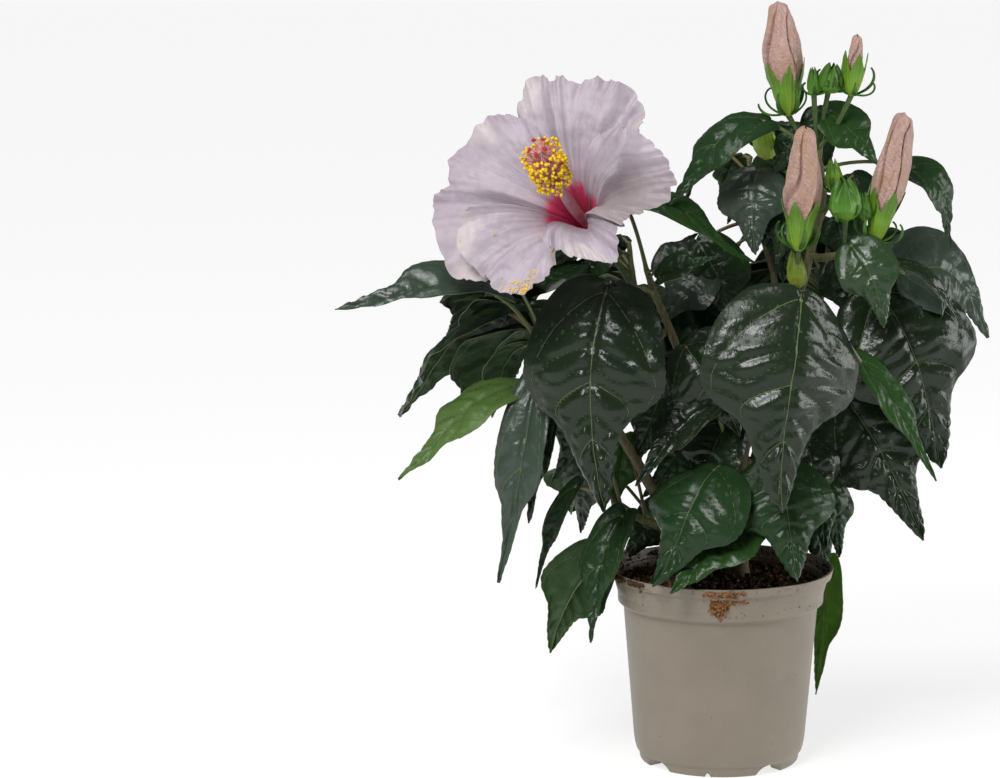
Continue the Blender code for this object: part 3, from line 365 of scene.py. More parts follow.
class Piece:
    """One mesh that is gathered from many small surfaces, each with its own material."""

    def __init__(self, name):
        self.name = name
        self.points, self.faces, self.slots, self.places, self.materials = [], [], [], [], []
        self.count = 0

    def add(self, points, faces, material, place=None):
        """Adds a surface; place is what the material knows its points by, or else their place."""
        points = np.asarray(points).reshape(-1, 3)
        if material not in self.materials:
            self.materials.append(material)
        self.slots.append(np.full(len(faces), self.materials.index(material)))
        self.faces.append(np.asarray(faces) + self.count)
        self.points.append(points)
        self.places.append(points if place is None else np.asarray(place).reshape(-1, 3))
        self.count += len(points)

    def add_grid(self, grid, material, closed=False, flip=False, place=None):
        """Adds a grid of points as quads; closed joins its last column to its first."""
        rows, columns = grid.shape[:2]
        last = columns if closed else columns - 1
        row, column = np.meshgrid(np.arange(rows - 1), np.arange(last), indexing="ij")
        here, below, after = row * columns, (row + 1) * columns, (column + 1) % columns
        quads = np.stack((here + column, here + after, below + after, below + column), -1)
        quads = quads.reshape(-1, 4)
        self.add(grid, quads[:, ::-1] if flip else quads, material, place)

    def add_sheet(self, upper, lower, materials, flip, place=None, start=True):
        """Adds both sides of a thin sheet and the strips that close its edges."""
        for side, material, flipped in zip((upper, lower), materials, (flip, not flip)):
            self.add_grid(side, material, flip=flipped, place=place)
        edges = [(np.s_[:, 0], flip), (np.s_[:, -1], not flip), (np.s_[0], not flip),
                 (np.s_[-1], flip)]
        for edge, flipped in edges if start else edges[:2] + edges[3:]:
            self.add_grid(np.stack([upper[edge], lower[edge]], 1), materials[2], flip=flipped,
                          place=None if place is None else np.stack([place[edge]] * 2, 1))

    def add_tube(self, path, radii, sides, material):
        self.add_grid(tube_grid(path, radii, sides), material, closed=True)

    def finish(self, slot, *replaced):
        mesh = bpy.data.meshes.new(self.name)
        mesh.from_pydata(np.concatenate(self.points), [],
                         [face for part in self.faces for face in part.tolist()])
        for material in self.materials:
            mesh.materials.append(material)
        mesh.polygons.foreach_set("material_index", np.concatenate(self.slots).astype(np.int32))
        place = mesh.attributes.new("place", "FLOAT_VECTOR", "POINT")
        place.data.foreach_set("vector", np.concatenate(self.places).ravel())
        show(mesh, slot, *replaced)


def ripple(points, size, seed, waves=24):
    """Smooth random values, about -1 to 1, whose lumps are about size across."""
    rng = np.random.default_rng(seed)
    ways = unit(rng.normal(size=(waves, 3))) * rng.uniform(0.6, 1.5, (waves, 1)) * 2 * np.pi / size
    phase = np.asarray(points) @ ways.T + rng.uniform(0, 2 * np.pi, waves)
    return np.sin(phase).sum(-1) / math.sqrt(waves)


def scatter(piece, material, centres, scales, spins, seed, subdivisions=1, rough=0.25):
    """Adds one small lumpy ball at each centre, scaled along three axes and turned by its spin."""
    rng = np.random.default_rng(seed)
    bpy.ops.mesh.primitive_ico_sphere_add(subdivisions=subdivisions, radius=1)
    ball = bpy.context.object
    points = np.array([vertex.co for vertex in ball.data.vertices])
    faces = np.array([list(face.vertices) for face in ball.data.polygons])
    bpy.data.objects.remove(ball)
    balls = np.repeat(points[None], len(centres), 0)
    balls = balls * (1 + rough * rng.uniform(-1, 1, balls.shape[:2] + (1,))) * scales[:, None]
    turned = np.einsum("nij,nkj->nki", spins, balls) + centres[:, None]
    offsets = np.arange(len(centres))[:, None, None] * len(points)
    piece.add(turned, (faces[None] + offsets).reshape(-1, 3), material)


def random_spins(count, rng):
    """Random turns as rotation matrices."""
    first = unit(rng.normal(size=(count, 3)))
    second = unit(np.cross(first, rng.normal(size=(count, 3))))
    return np.stack([first, second, np.cross(first, second)], -1)


def strew(piece, material, spots, low, high, rng, seed):
    """Scatters crumbs of low to high (mm) at spots (metres), turned at random."""
    scales = rng.uniform(low, high, (len(spots), 3)) * MM
    scatter(piece, material, spots, scales, random_spins(len(spots), rng), seed)


def tube_grid(path, radii, sides):
    """Rings of points round a path, rounded off at both ends; radii has a row for each ring."""
    path = np.asarray([tuple(point) for point in path], float)
    radii = np.broadcast_to(np.asarray(radii, float).reshape(len(path), -1), (len(path), sides))
    ahead = unit(np.gradient(path, axis=0))
    side = unit(np.cross(ahead[0], (0.31, 0.17, 0.93)))
    turns = circle(sides)
    rings = []
    for point, way, radius in zip(path, ahead, radii):
        side = unit(side - way * side.dot(way))
        out = np.outer(np.cos(turns), side) + np.outer(np.sin(turns), np.cross(way, side))
        rings.append(point + out * radius[:, None])
    head, tail = ([rings[end] + sign * ahead[end] * radii[end].mean() * far
                   + (path[end] - rings[end]) * (1 - wide)
                   for far, wide in ((0.4, 0.9), (0.75, 0.6), (0.9, 0.05))]
                  for end, sign in ((0, -1), (-1, 1)))
    return np.array(head[::-1] + rings + tail)


# ---- Materials ----

def set_ramp(node, stops):
    """Sets a colour ramp; each stop is (position, colour or grey value)."""
    elements = node.color_ramp.elements
    while len(elements) < len(stops):
        elements.new(0.5)
    for element, (position, value) in zip(elements, stops):
        element.position = position
        element.color = (*value, 1) if isinstance(value, tuple) else (value, value, value, 1)


class Nodes:
    """A new material's node tree, with short ways to add and link nodes."""

    def __init__(self, name, roughness, colour, **constants):
        self.material = bpy.data.materials.new(name)
        self.material.use_nodes = True
        self.material.diffuse_color = (*colour, 1)
        self.tree = self.material.node_tree
        self.shader = self.tree.nodes["Principled BSDF"]
        self.height = None
        self.shade(Base_Color=colour, Roughness=roughness, **constants)

    def feed(self, socket, value):
        """Links a socket to another node's output, or sets it to a constant."""
        if isinstance(value, bpy.types.NodeSocket):
            self.tree.links.new(value, socket)
        elif isinstance(value, tuple) and len(socket.default_value) == 4:
            socket.default_value = (*value, 1)
        else:
            socket.default_value = value

    def shade(self, **values):
        """Feeds the shader's sockets."""
        for socket, value in values.items():
            self.feed(self.shader.inputs[socket.replace("_", " ")], value)

    def node(self, kind, settings=(), **values):
        made = self.tree.nodes.new("ShaderNode" + kind)
        for name, value in settings:
            setattr(made, name, value)
        for socket, value in values.items():
            self.feed(made.inputs[socket.replace("_", " ")], value)
        return made

    def place(self, *scale):
        """Where a point is on the piece (metres), stretched by scale."""
        return self.stretch(self.node("TexCoord").outputs["Object"], scale or (1, 1, 1))

    def stretch(self, vector, scale, **more):
        return self.node("Mapping", Vector=vector, Scale=scale, **more).outputs["Vector"]

    def own_place(self):
        """The vector that the piece gives its points, and its three parts."""
        where = self.node("Attribute", [("attribute_name", "place")]).outputs["Vector"]
        parts = self.node("SeparateXYZ", Vector=where).outputs
        return where, parts["X"], parts["Y"], parts["Z"]

    def noise(self, size, detail=4.0, roughness=0.55, place=None):
        """Noise whose lumps are about size (metres) across."""
        return self.node("TexNoise", Vector=place or self.place(), Scale=1 / size, Detail=detail,
                         Roughness=roughness).outputs["Fac"]

    def spots(self, size, inner, outer, *scale):
        """Round spots: 1 in the middle and 0 outside."""
        cells = self.node("TexVoronoi", [("feature", "F1")], Vector=self.place(*scale),
                          Scale=1 / size)
        return self.ramp(cells.outputs["Distance"], (inner, 1.0), (outer, 0.0))

    def ramp(self, source, *stops):
        made = self.node("ValToRGB", Fac=source)
        set_ramp(made, stops)
        return made.outputs["Color"]

    def mix(self, factor, first, second):
        made = self.node("Mix", [("data_type", "RGBA")])
        for index, value in ((0, factor), (6, first), (7, second)):
            self.feed(made.inputs[index], value)
        return made.outputs[2]

    def math(self, operation, *values):
        made = self.node("Math", [("operation", operation)])
        for socket, value in zip(made.inputs, values):
            self.feed(socket, value)
        return made.outputs[0]

    def times(self, first, second):
        return self.math("MULTIPLY", first, second)

    def rough(self, source, low, high):
        made = self.node("MapRange", Value=source, To_Min=low, To_Max=high)
        self.shade(Roughness=made.outputs["Result"])

    def bump(self, source, depth, strength):
        """Adds relief of the given depth (metres), on top of any that is there."""
        below = {"Normal": self.height} if self.height else {}
        made = self.node("Bump", Height=source, Strength=strength, Distance=depth, **below)
        self.height = made.outputs["Normal"]
        self.shade(Normal=self.height)

    def lumps(self, size, detail, depth, strength, roughness=0.55, place=None):
        """Adds the relief of a noise."""
        self.bump(self.noise(size, detail, roughness, place), depth, strength)


LEAF_LOOKS = {
    "dark": ((0.0115, 0.0215, 0.0095), 0.25, 0.35), "deep": ((0.0120, 0.0280, 0.0105), 0.29, 0.28),
    "mid": ((0.0135, 0.0370, 0.0115), 0.31, 0.26), "fresh": ((0.0180, 0.0540, 0.0110), 0.31, 0.30),
    "light": ((0.0200, 0.0460, 0.0160), 0.29, 0.42),
    # Grey-green blade colour: partly the paler blade itself, partly a painted sheen that lifts the
    # colour towards grey.
    "silvery": ((0.0380, 0.0580, 0.0400), 0.31, 0.42),
    # A lit copy of the blade green: painted light standing for light shining through the leaf.
    "bright": ((0.0280, 0.0800, 0.0110), 0.38, 0.28),
    "young": ((0.0750, 0.1350, 0.0330), 0.42, 0.25),
    "under": ((0.030, 0.062, 0.022), 0.58, 0.20),
    # Underside of that tint: brighter green, painted light shining through the leaf.
    "under_bright": ((0.070, 0.190, 0.018), 0.55, 0.20),
    "vein": ((0.105, 0.135, 0.050), 0.42, 0.30),
}


def leaf_material(name, colour, roughness, gloss):
    """Waxy blade: plain colour, the finest net of veins and small dimples as relief."""
    nodes = Nodes("leaf_" + name, roughness, colour, Specular_IOR_Level=gloss)
    nodes.lumps(0.0060, 3.0, 0.0008, 0.8, 0.5)
    nodes.lumps(0.0016, 2.0, 0.00010, 0.6)
    return nodes.material


def bark_material(name, low, high, patch):
    """Stem skin: streaks along it, corky dots and fine cracks."""
    nodes = Nodes(name, 0.7, high)
    streaks = nodes.noise(0.0016, 5.0, 0.6, nodes.place(1, 1, 0.25))
    colour = nodes.ramp(streaks, (0.32, low), (0.68, high))
    dots = nodes.spots(0.0032, 0.10, 0.20, 1, 1, 0.7)
    nodes.shade(Base_Color=nodes.mix(nodes.times(dots, 0.55), colour, patch))
    nodes.rough(streaks, 0.5, 0.8)
    nodes.bump(streaks, 0.0005, 0.9)
    nodes.bump(dots, 0.0004, 0.8)
    return nodes.material


def petiole_material():
    nodes = Nodes("petiole", 0.45, (0.11, 0.13, 0.045))
    nodes.shade(Base_Color=nodes.ramp(
        nodes.noise(0.018, 2.0), (0.38, (0.085, 0.130, 0.035)), (0.55, (0.130, 0.140, 0.050)),
        (0.70, (0.160, 0.085, 0.040))))
    nodes.lumps(0.0009, 3.0, 0.0002, 0.6)
    return nodes.material


def calyx_material(name, low, high):
    """Calyx: yellow-green at its foot, greener in its lobes, with paler ribs and margins."""
    nodes = Nodes("calyx_" + name, 0.40, high, Specular_IOR_Level=0.35)
    _, up, lobe, _ = nodes.own_place()
    reach = nodes.math("ADD", up, nodes.times(nodes.noise(0.006, 3.0), 0.5))
    dark = tuple(0.65 * value for value in low)
    pale = tuple(min(1.0, 1.5 * value + 0.02) for value in high)
    rib = nodes.math("PINGPONG", nodes.times(lobe, 2.0), 0.5)
    colour = nodes.ramp(reach, (0.30, high), (0.70, low), (1.25, dark))
    nodes.shade(Base_Color=nodes.mix(nodes.ramp(rib, (0.0, 0.22), (0.12, 0.0)), colour, pale))
    nodes.bump(rib, 0.0006, 0.5)
    nodes.lumps(0.0008, 3.0, 0.00025, 0.7, place=nodes.place(1, 1, 0.3))
    return nodes.material


def bract_material():
    nodes = Nodes("bract_green", 0.42, (0.070, 0.175, 0.026), Specular_IOR_Level=0.35)
    nodes.shade(Base_Color=nodes.ramp(nodes.noise(0.006, 3.0), (0.35, (0.028, 0.095, 0.016)),
                                       (0.65, (0.070, 0.175, 0.026))))
    nodes.lumps(0.0008, 3.0, 0.00025, 0.7, place=nodes.place(1, 1, 0.3))
    return nodes.material


def bud_petal_material():
    """Furled petal: silky, with fine streaks along it and painted shade darkening its grooves."""
    nodes = Nodes("bud_petal", 0.5, (0.42, 0.26, 0.22), Sheen_Weight=0.15, Sheen_Roughness=0.5)
    where, fold, _, _ = nodes.own_place()
    slant = nodes.stretch(where, (16.0, 70.0, 1.0), Rotation=(0, 0, 0.9))
    streaks = nodes.noise(1.0, 3.0, 0.5, nodes.stretch(slant, (0.75, 0.10, 1.0)))
    colour = nodes.ramp(streaks, (0.34, (0.385, 0.230, 0.188)), (0.52, (0.425, 0.262, 0.222)),
                        (0.72, (0.500, 0.330, 0.282)))
    tan = nodes.ramp(nodes.noise(0.014, 2.0), (0.45, 0.0), (0.62, 0.55))
    colour = nodes.mix(tan, colour, (0.360, 0.215, 0.115))
    # Painted shade: the grooves between the furled petals are darkened towards dark brown,
    # patchily.
    groove_painted_shade = nodes.ramp(nodes.math("PINGPONG", fold, 0.5), (0.0, 1.0), (0.09, 0.0))
    patchy_shade = nodes.ramp(nodes.noise(0.008, 3.0), (0.35, 0.25), (0.60, 0.85))
    nodes.shade(Base_Color=nodes.mix(nodes.times(groove_painted_shade, patchy_shade), colour, (0.110, 0.050, 0.030)))
    nodes.lumps(0.0026, 3.0, 0.0014, 0.9, 0.6, nodes.place(1.6, 1, 1.6))
    nodes.bump(streaks, 0.0005, 0.6)
    nodes.lumps(0.0013, 3.0, 0.0003, 0.8, place=nodes.place(1, 1, 0.6))
    return nodes.material


def petal_material(name, front):
    """Petal: silky lavender grey with pale veins, cream edge, painted shade past the right petal's
    fold and, in front, a crimson eye.
    """
    nodes = Nodes(name, 0.55, (0.60, 0.52, 0.62), Sheen_Weight=0.15, Sheen_Roughness=0.4)
    where, length, side, bleach_and_painted_shade = nodes.own_place()
    broad = nodes.noise(1.0, 3.0, 0.5, nodes.stretch(where, (1.6, 7.0, 1.0)))
    fine = nodes.noise(1.0, 3.0, 0.6, nodes.stretch(where, (3.0, 34.0, 1.0)))
    tissue = nodes.ramp(nodes.noise(0.02, 3.0), (0.35, (0.345, 0.285, 0.340)),
                        (0.65, (0.420, 0.360, 0.408)))
    spread = nodes.math("ADD", nodes.times(side, 4.5), nodes.times(broad, 0.9))
    off = nodes.math("ABSOLUTE", nodes.math("SUBTRACT", nodes.math("FRACT", spread), 0.5))
    line = nodes.times(nodes.ramp(off, (0.0, 1.0), (0.045, 0.0)),
                       nodes.ramp(length, (0.30, 0.55), (0.92, 0.0)))
    bleached = nodes.math("ADD", bleach_and_painted_shade, nodes.times(nodes.noise(0.012, 3.0), 0.8))
    layers = [
        (nodes.ramp(broad, (0.50, 0.0), (0.66, 0.25)), (0.47, 0.43, 0.48)),
        (nodes.ramp(fine, (0.50, 0.0), (0.72, 0.10)), (0.50, 0.46, 0.50)),
        (nodes.times(line, 0.95), (0.68, 0.63, 0.65)),
        (nodes.ramp(bleached, (0.65, 0.0), (1.10, 0.70)), (0.56, 0.49, 0.48)),
        # Painted shade: where the bleaching value is negative, past the right petal's fold, the
        # petal is darkened to greyish brown.
        (nodes.ramp(nodes.times(bleach_and_painted_shade, -1.0), (0.15, 0.0), (0.9, 0.80)), (0.265, 0.218, 0.220)),
    ]
    if front:
        ragged = nodes.math("ADD", length, nodes.times(fine, -0.10))
        layers += [(nodes.ramp(ragged, (0.34, 0.85), (0.56, 0.0)), (0.46, 0.32, 0.37)),
                   (nodes.ramp(ragged, (0.345, 1.0), (0.40, 0.0)), (0.620, 0.036, 0.125))]
    else:
        layers.append((0.35, (0.48, 0.43, 0.40)))
    for share, colour in layers:
        tissue = nodes.mix(share, tissue, colour)
    nodes.shade(Base_Color=tissue)
    nodes.bump(broad, 0.0010, 0.5)
    nodes.bump(line, 0.0004, 0.6)
    nodes.bump(fine, 0.0005, 0.7)
    nodes.lumps(0.0030, 3.0, 0.0006, 0.6)
    return nodes.material


def plain_material(name, colour, roughness, lump, depth, **constants):
    """A small part's material: slightly varied colour and a lumpy surface."""
    nodes = Nodes(name, roughness, colour, **constants)
    dim = tuple(0.7 * value for value in colour)
    nodes.shade(Base_Color=nodes.ramp(nodes.noise(lump * 3, 2.0), (0.35, dim), (0.6, colour)))
    nodes.lumps(lump, 3.0, depth, 0.8)
    return nodes.material


def pot_material():
    """Satin moulded plastic: faint mottling, rubbed streaks, specks of dirt and a dusty rim."""
    nodes = Nodes("pot_plastic", 0.42, (0.217, 0.184, 0.140))
    colour = nodes.ramp(nodes.noise(0.03, 5.0), (0.3, (0.202, 0.170, 0.129)),
                        (0.7, (0.232, 0.198, 0.151)))
    streaks = nodes.noise(0.004, 6.0, 0.65, nodes.place(1, 1, 0.12))
    height = nodes.node("SeparateXYZ", Vector=nodes.place()).outputs["Z"]
    near_rim = nodes.ramp(nodes.times(height, 8.0), (0.80, 0.0), (0.90, 1.0))
    dirt = nodes.ramp(nodes.noise(0.006, 6.0, 0.7), (0.54, 0.0), (0.64, 1.0))
    for share, over in (
            (nodes.ramp(streaks, (0.60, 0.0), (0.80, 0.30)), (0.30, 0.27, 0.225)),
            (nodes.times(nodes.spots(0.011, 0.028, 0.050), 0.75), (0.06, 0.035, 0.02)),
            (nodes.times(nodes.times(near_rim, dirt), 0.7), (0.09, 0.05, 0.025))):
        colour = nodes.mix(share, colour, over)
    nodes.shade(Base_Color=colour)
    nodes.rough(streaks, 0.36, 0.52)
    nodes.lumps(0.0022, 3.0, 0.00010, 0.5)
    nodes.lumps(0.02, 2.0, 0.0008, 0.4)
    return nodes.material


def peat_material(name, low, high):
    nodes = Nodes("peat_" + name, 0.95, high, Specular_IOR_Level=0.25)
    fibre = nodes.noise(0.0022, 6.0, 0.7)
    nodes.shade(Base_Color=nodes.ramp(fibre, (0.35, low), (0.70, high)))
    nodes.bump(fibre, 0.0016, 1.0)
    nodes.lumps(0.0007, 3.0, 0.0004, 0.8)
    return nodes.material


# ---- The growing rule ----

def smooth_path(points, steps=3):
    """Points of a Catmull-Rom curve through the given points, steps pieces to each span."""
    ends = [points[0] * 2 - points[1]] + points + [points[-1] * 2 - points[-2]]
    path = []
    for before, start, end, after in zip(ends, ends[1:], ends[2:], ends[3:]):
        for step in range(steps):
            t = step / steps
            path.append(0.5 * (2 * start + (end - before) * t
                               + (2 * before - 5 * start + 4 * end - after) * t * t
                               + (3 * start - before - 3 * end + after) * t ** 3))
    return path + [points[-1]]


def along(path, fraction):
    """The point and the direction at a fraction of the path's points."""
    place = min(fraction, 1.0) * (len(path) - 1)
    index = min(int(place), len(path) - 2)
    step = path[index + 1] - path[index]
    return path[index] + step * (place - index), step.normalized()


def outline(u):
    """Half-width of a leaf at u of its length, as a fraction of its greatest half-width."""
    return np.maximum(np.sin(np.pi * np.maximum(u, 0) ** 0.62), 0) ** 0.75 * (1 - 0.3 * u * u)


def fine_outline(u):
    """The same outline with its real shoulders, where the drawn-out tip begins."""
    swell = 1 + 0.12 * hill(u, 0.47, 0.13)
    return outline(u) * swell * (1 - 0.36 / (1 + np.exp((0.585 - u) / 0.022)))


class Blade:
    """The bent surface of a leaf, between its base and its tip (metres)."""

    LOBE = 0.12             # how far the two lobes at the stalk reach back, of the length
    CROWDING = 1.35         # how much closer the frame's rows of faces stand near the base

    def __init__(self, base, tip, width, face, arch, fold, sway, twist, grid=(3, 2)):
        self.rows, self.columns = grid
        self.base = base
        self.chord = tip - base
        self.length = self.chord.length
        self.half_width = width / 2
        self.front = (face - self.chord * face.dot(self.chord) / self.length ** 2).normalized()
        self.across = self.front.cross(self.chord).normalized()
        self.arch = arch
        self.sway = sway
        self.fold = math.radians(fold)
        self.twist = math.radians(twist)

    def midrib(self, u):
        bend = 6.75 * u * (1 - u) ** 2
        swing = 4 * u * (1 - u)
        return (self.base + self.chord * u + self.front * self.length * self.arch * bend
                + self.across * self.length * self.sway * swing)

    def point(self, u, v):
        """A point at u of the length and v from -1, one edge, to 1, the other."""
        centre = self.midrib(u)
        ahead = (self.midrib(u + 0.01) - self.midrib(u - 0.01)).normalized()
        normal = (self.front - ahead * self.front.dot(ahead)).normalized()
        normal.rotate(Matrix.Rotation(self.twist * u, 3, ahead))
        side = normal.cross(ahead)
        wide = max(float(outline(u)), 0.035)
        reach = self.half_width * wide
        back = self.LOBE * math.exp(-u / 0.1) * abs(v) ** 1.5 * min(wide * 1.6, 1)
        return (centre + side * reach * v * math.cos(self.fold)
                + normal * reach * abs(v) * math.sin(self.fold) - ahead * self.length * back)

    def grid_point(self, s, v):
        return self.point(s ** self.CROWDING, v)

    def tree(self):
        """The blade's grid of faces, for finding what is near it."""
        wide = self.columns + 1
        spots = [self.grid_point(row / self.rows, 2 * column / self.columns - 1)
                 for row in range(self.rows + 1) for column in range(wide)]
        faces = [(c, c + 1, c + wide + 1, c + wide) for row in range(self.rows)
                 for c in range(row * wide, row * wide + self.columns)]
        return BVHTree.FromPolygons(spots, faces)


def stalk_path(root, blade, steps=3):
    """A leaf stalk from the stem at root, over an easy bow, to a little inside the blade."""
    end = blade.midrib(0.045)
    bow = (root + end) / 2 + UP * (end - root).length * 0.16
    return [root * (1 - t) ** 2 + bow * 2 * t * (1 - t) + end * t * t
            for t in (step / steps for step in range(steps + 1))]


def ribbon_tree(path, half_width):
    """A flat band along a path, which stands for a thin stalk."""
    spots = []
    for point, after in zip(path, path[1:] + [path[-1] * 2 - path[-2]]):
        side = (after - point).cross(UP).normalized() * half_width
        spots += [point - side, point + side]
    faces = [(i, i + 1, i + 3, i + 2) for i in range(0, len(spots) - 2, 2)]
    return BVHTree.FromPolygons(spots, faces)


class Space:
    """What is already taken up and by which mass, for keeping new leaves clear of it."""

    CLEAR = 2.2 * MM

    def __init__(self):
        self.taken = []

    def add_mesh(self, mesh, owner=None):
        faces = [tuple(face.vertices) for face in mesh.polygons]
        tree = BVHTree.FromPolygons([vertex.co.copy() for vertex in mesh.vertices], faces)
        self.taken.append((tree, owner))

    def add_leaf(self, blade, stalk, owner):
        for tree in (blade.tree(), ribbon_tree(stalk, PETIOLE_RADIUS * MM)):
            self.taken.append((tree, owner))

    def is_free(self, blade, stalk, owner):
        """True where the blade is clear of everything, and its stalk of all other masses."""
        own = blade.tree()
        blade_spots = [blade.grid_point(s / 8, v / 2) for s in range(9) for v in range(-2, 3)]
        stalk_spots = [along(stalk, step / 20)[0] for step in range(20)]
        for tree, holder in self.taken:
            spots = blade_spots if holder == owner else blade_spots + stalk_spots
            if tree.overlap(own) or any(tree.find_nearest(spot, self.CLEAR)[0] for spot in spots):
                return False
        return True


def shoot_path(parent, parent_radii, fraction, points, radius):
    """The path of a shoot through points (mm), from just off its parent's tip or side."""
    points = [metres(point) for point in points]
    place, ahead = along(parent, fraction)
    clear = GAP * 1.4
    if fraction >= 1.0:
        first = place + ahead * clear
        second = first + ahead * 2 * MM
    else:
        out = points[0] - place
        out = (out - ahead * out.dot(ahead)).normalized()
        parent_radius = parent_radii[0] + (parent_radii[-1] - parent_radii[0]) * fraction
        first = place + out * (parent_radius * MM + clear)
        second = first + out * (radius * 1.2 + 0.5) * MM
    return [first] + smooth_path([second] + points, 2)


def limb_paths():
    """The smoothed path of each limb, in metres, started clear of its parent."""
    paths = {}
    for name, limb in LIMBS.items():
        if limb.parent == "soil":
            foot = metres(limb.points[0]) + UP * GAP
            paths[name] = [foot] + smooth_path(
                [foot + UP * 3 * MM] + [metres(point) for point in limb.points[1:]])
        else:
            paths[name] = shoot_path(paths[limb.parent], LIMBS[limb.parent].radii, limb.at,
                                     limb.points, limb.radii[0])
    return paths


def stem_radii(mass):
    start = min(LIMBS[mass.limb].radii[-1], 2.2)
    return (start, max(start * 0.7, 1.3))


def square_tube(path, radii):
    """A four-sided tube as the frame's stems have, for keeping clear of them."""
    curve = bpy.data.curves.new("stem", "CURVE")
    curve.dimensions = "3D"
    curve.bevel_depth = MM
    curve.bevel_resolution = 0
    curve.use_fill_caps = True
    spline = curve.splines.new("POLY")
    spline.points.add(len(path) - 1)
    for index, place in enumerate(path):
        spline.points[index].co = (*place, 1)
        spline.points[index].radius = radii[0] + (radii[1] - radii[0]) * index / (len(path) - 1)
    return evaluated_mesh(linked("stem", curve))


def placed_leaf(stem, root, base, tip, width, face, tint, arch=0.1, fold=-5, sway=0.05, twist=0):
    """A leaf that is placed from the photograph, as (stalk root, blade, tint)."""
    base, tip = metres(base), metres(tip)
    grid = (4, 4) if (tip - base).length > LARGE_LEAF * MM else (3, 2)
    blade = Blade(base, tip, width * MM, Vector(face), arch, fold, sway, twist, grid)
    return along(stem, root)[0], blade, tint


def seeded_leaf(root, turn, rng, size=1.0):
    """One leaf of the growing rule: its stalk rises outwards from root, its blade hangs."""
    rise = math.radians(rng.uniform(*STALK_RISE))
    reach = rng.uniform(*STALK_LENGTH) * size * MM
    droop = math.radians(rng.uniform(*LEAF_DROOP))
    length = rng.uniform(*LEAF_LENGTH) * size * MM
    heading = direction(turn + rng.uniform(-LEAF_VEER, LEAF_VEER))
    width = length * rng.uniform(*LEAF_SHAPE)
    base = root + (direction(turn) * math.cos(rise) + UP * math.sin(rise)) * reach
    tip = base + (heading * math.cos(droop) - UP * math.sin(droop)) * length
    face = heading * math.sin(droop) + UP * math.cos(droop)
    return Blade(base, tip, width, face, rng.uniform(*LEAF_ARCH), rng.uniform(*LEAF_FOLD),
                 rng.uniform(-LEAF_SWAY, LEAF_SWAY), rng.uniform(-LEAF_TWIST, LEAF_TWIST))


def inside(point, space):
    low, high = metres(space[0]), metres(space[1])
    return all(low[i] <= point[i] <= high[i] for i in range(3))


def in_corners(x, z, corners):
    """True inside the closed outline through the corners."""
    within = False
    for (x0, z0), (x1, z1) in zip(corners, corners[1:] + corners[:1]):
        if (z0 > z) != (z1 > z) and x < x0 + (x1 - x0) * (z - z0) / (z1 - z0):
            within = not within
    return within


def hides_sky(blade):
    """True where part of the blade, seen from the front, stands in one of the plant's gaps."""
    eye = metres(FRONT_VIEW)
    for step in range(9):
        for v in (-0.9, -0.45, 0, 0.45, 0.9):
            spot = blade.point(0.06 + 0.115 * step, v)
            seen = (eye + (spot - eye) * (eye.y / (eye.y - spot.y))) / MM
            if any(in_corners(seen.x, seen.z, corners) for corners in SKY):
                return True
    return False


def grow_leaves(name, stem, taken, rng, count, size=1.0, open_sky=False):
    """Leaves round the stem by the golden angle, but none that leaves the space or touches."""
    mass = MASSES[name]
    grown = []
    for step in range(count * TRIES):
        if len(grown) == count:
            break
        root, _ = along(stem, 0.08 + 0.9 * ((step * 0.618) % 1.0))
        blade = seeded_leaf(root, mass.turn + step * GOLDEN_ANGLE, rng, size)
        stalk = stalk_path(root, blade)
        spots = [blade.point(*spot) for spot in ((0.1, 0), (0.45, -1), (0.45, 1), (1, 0))]
        if open_sky and hides_sky(blade):
            continue
        if all(inside(spot, mass.space) for spot in spots) and taken.is_free(blade, stalk, name):
            taken.add_leaf(blade, stalk, name)
            grown.append((root, blade))
    return grown


def plan_leaves(taken, stems):
    """Every leaf of every mass, as (stalk root, blade, tint), the placed ones first."""
    leaves = {name: [placed_leaf(stems[name], *leaf) for leaf in LEAVES.get(name, ())]
              for name in MASSES}
    for name, placed in leaves.items():
        for root, blade, _ in placed:
            taken.add_leaf(blade, stalk_path(root, blade), name)
    lost, freed = {}, set()
    for seed, (name, mass) in enumerate(MASSES.items()):
        if mass.seeded:
            first = len(taken.taken)
            grown = grow_leaves(name, stems[name], taken, random.Random(seed + 11), mass.seeded)
            for number, (root, blade) in enumerate(grown):
                if hides_sky(blade):
                    freed.update((first + 2 * number, first + 2 * number + 1))
                    lost[name] = lost.get(name, 0) + 1
                else:
                    tint = SEEDED_TINTS[(seed + number) % len(SEEDED_TINTS)]
                    leaves[name].append((root, blade, tint))
    taken.taken = [entry for number, entry in enumerate(taken.taken) if number not in freed]
    later = [(name, seed + 51, round(REGROWN * count), REGROWN_SIZE,
              SEEDED_TINTS[seed % len(SEEDED_TINTS)])
             for seed, (name, count) in enumerate(lost.items())]
    later += [(name, seed + 101, count, FINE_SIZE, "mid" if seed % 2 else "deep")
              for seed, (name, count) in enumerate(FINE_LEAVES.items())]
    for name, seed, count, size, tint in later:
        grown = grow_leaves(name, stems[name], taken, random.Random(seed), count, size, True)
        leaves[name] += [(root, blade, tint) for root, blade in grown]
    for name, fine in FINE_PLACED.items():
        leaves[name] += [placed_leaf(stems[name], *leaf) for leaf in fine]
    return leaves


# ---- Leaf blades ----

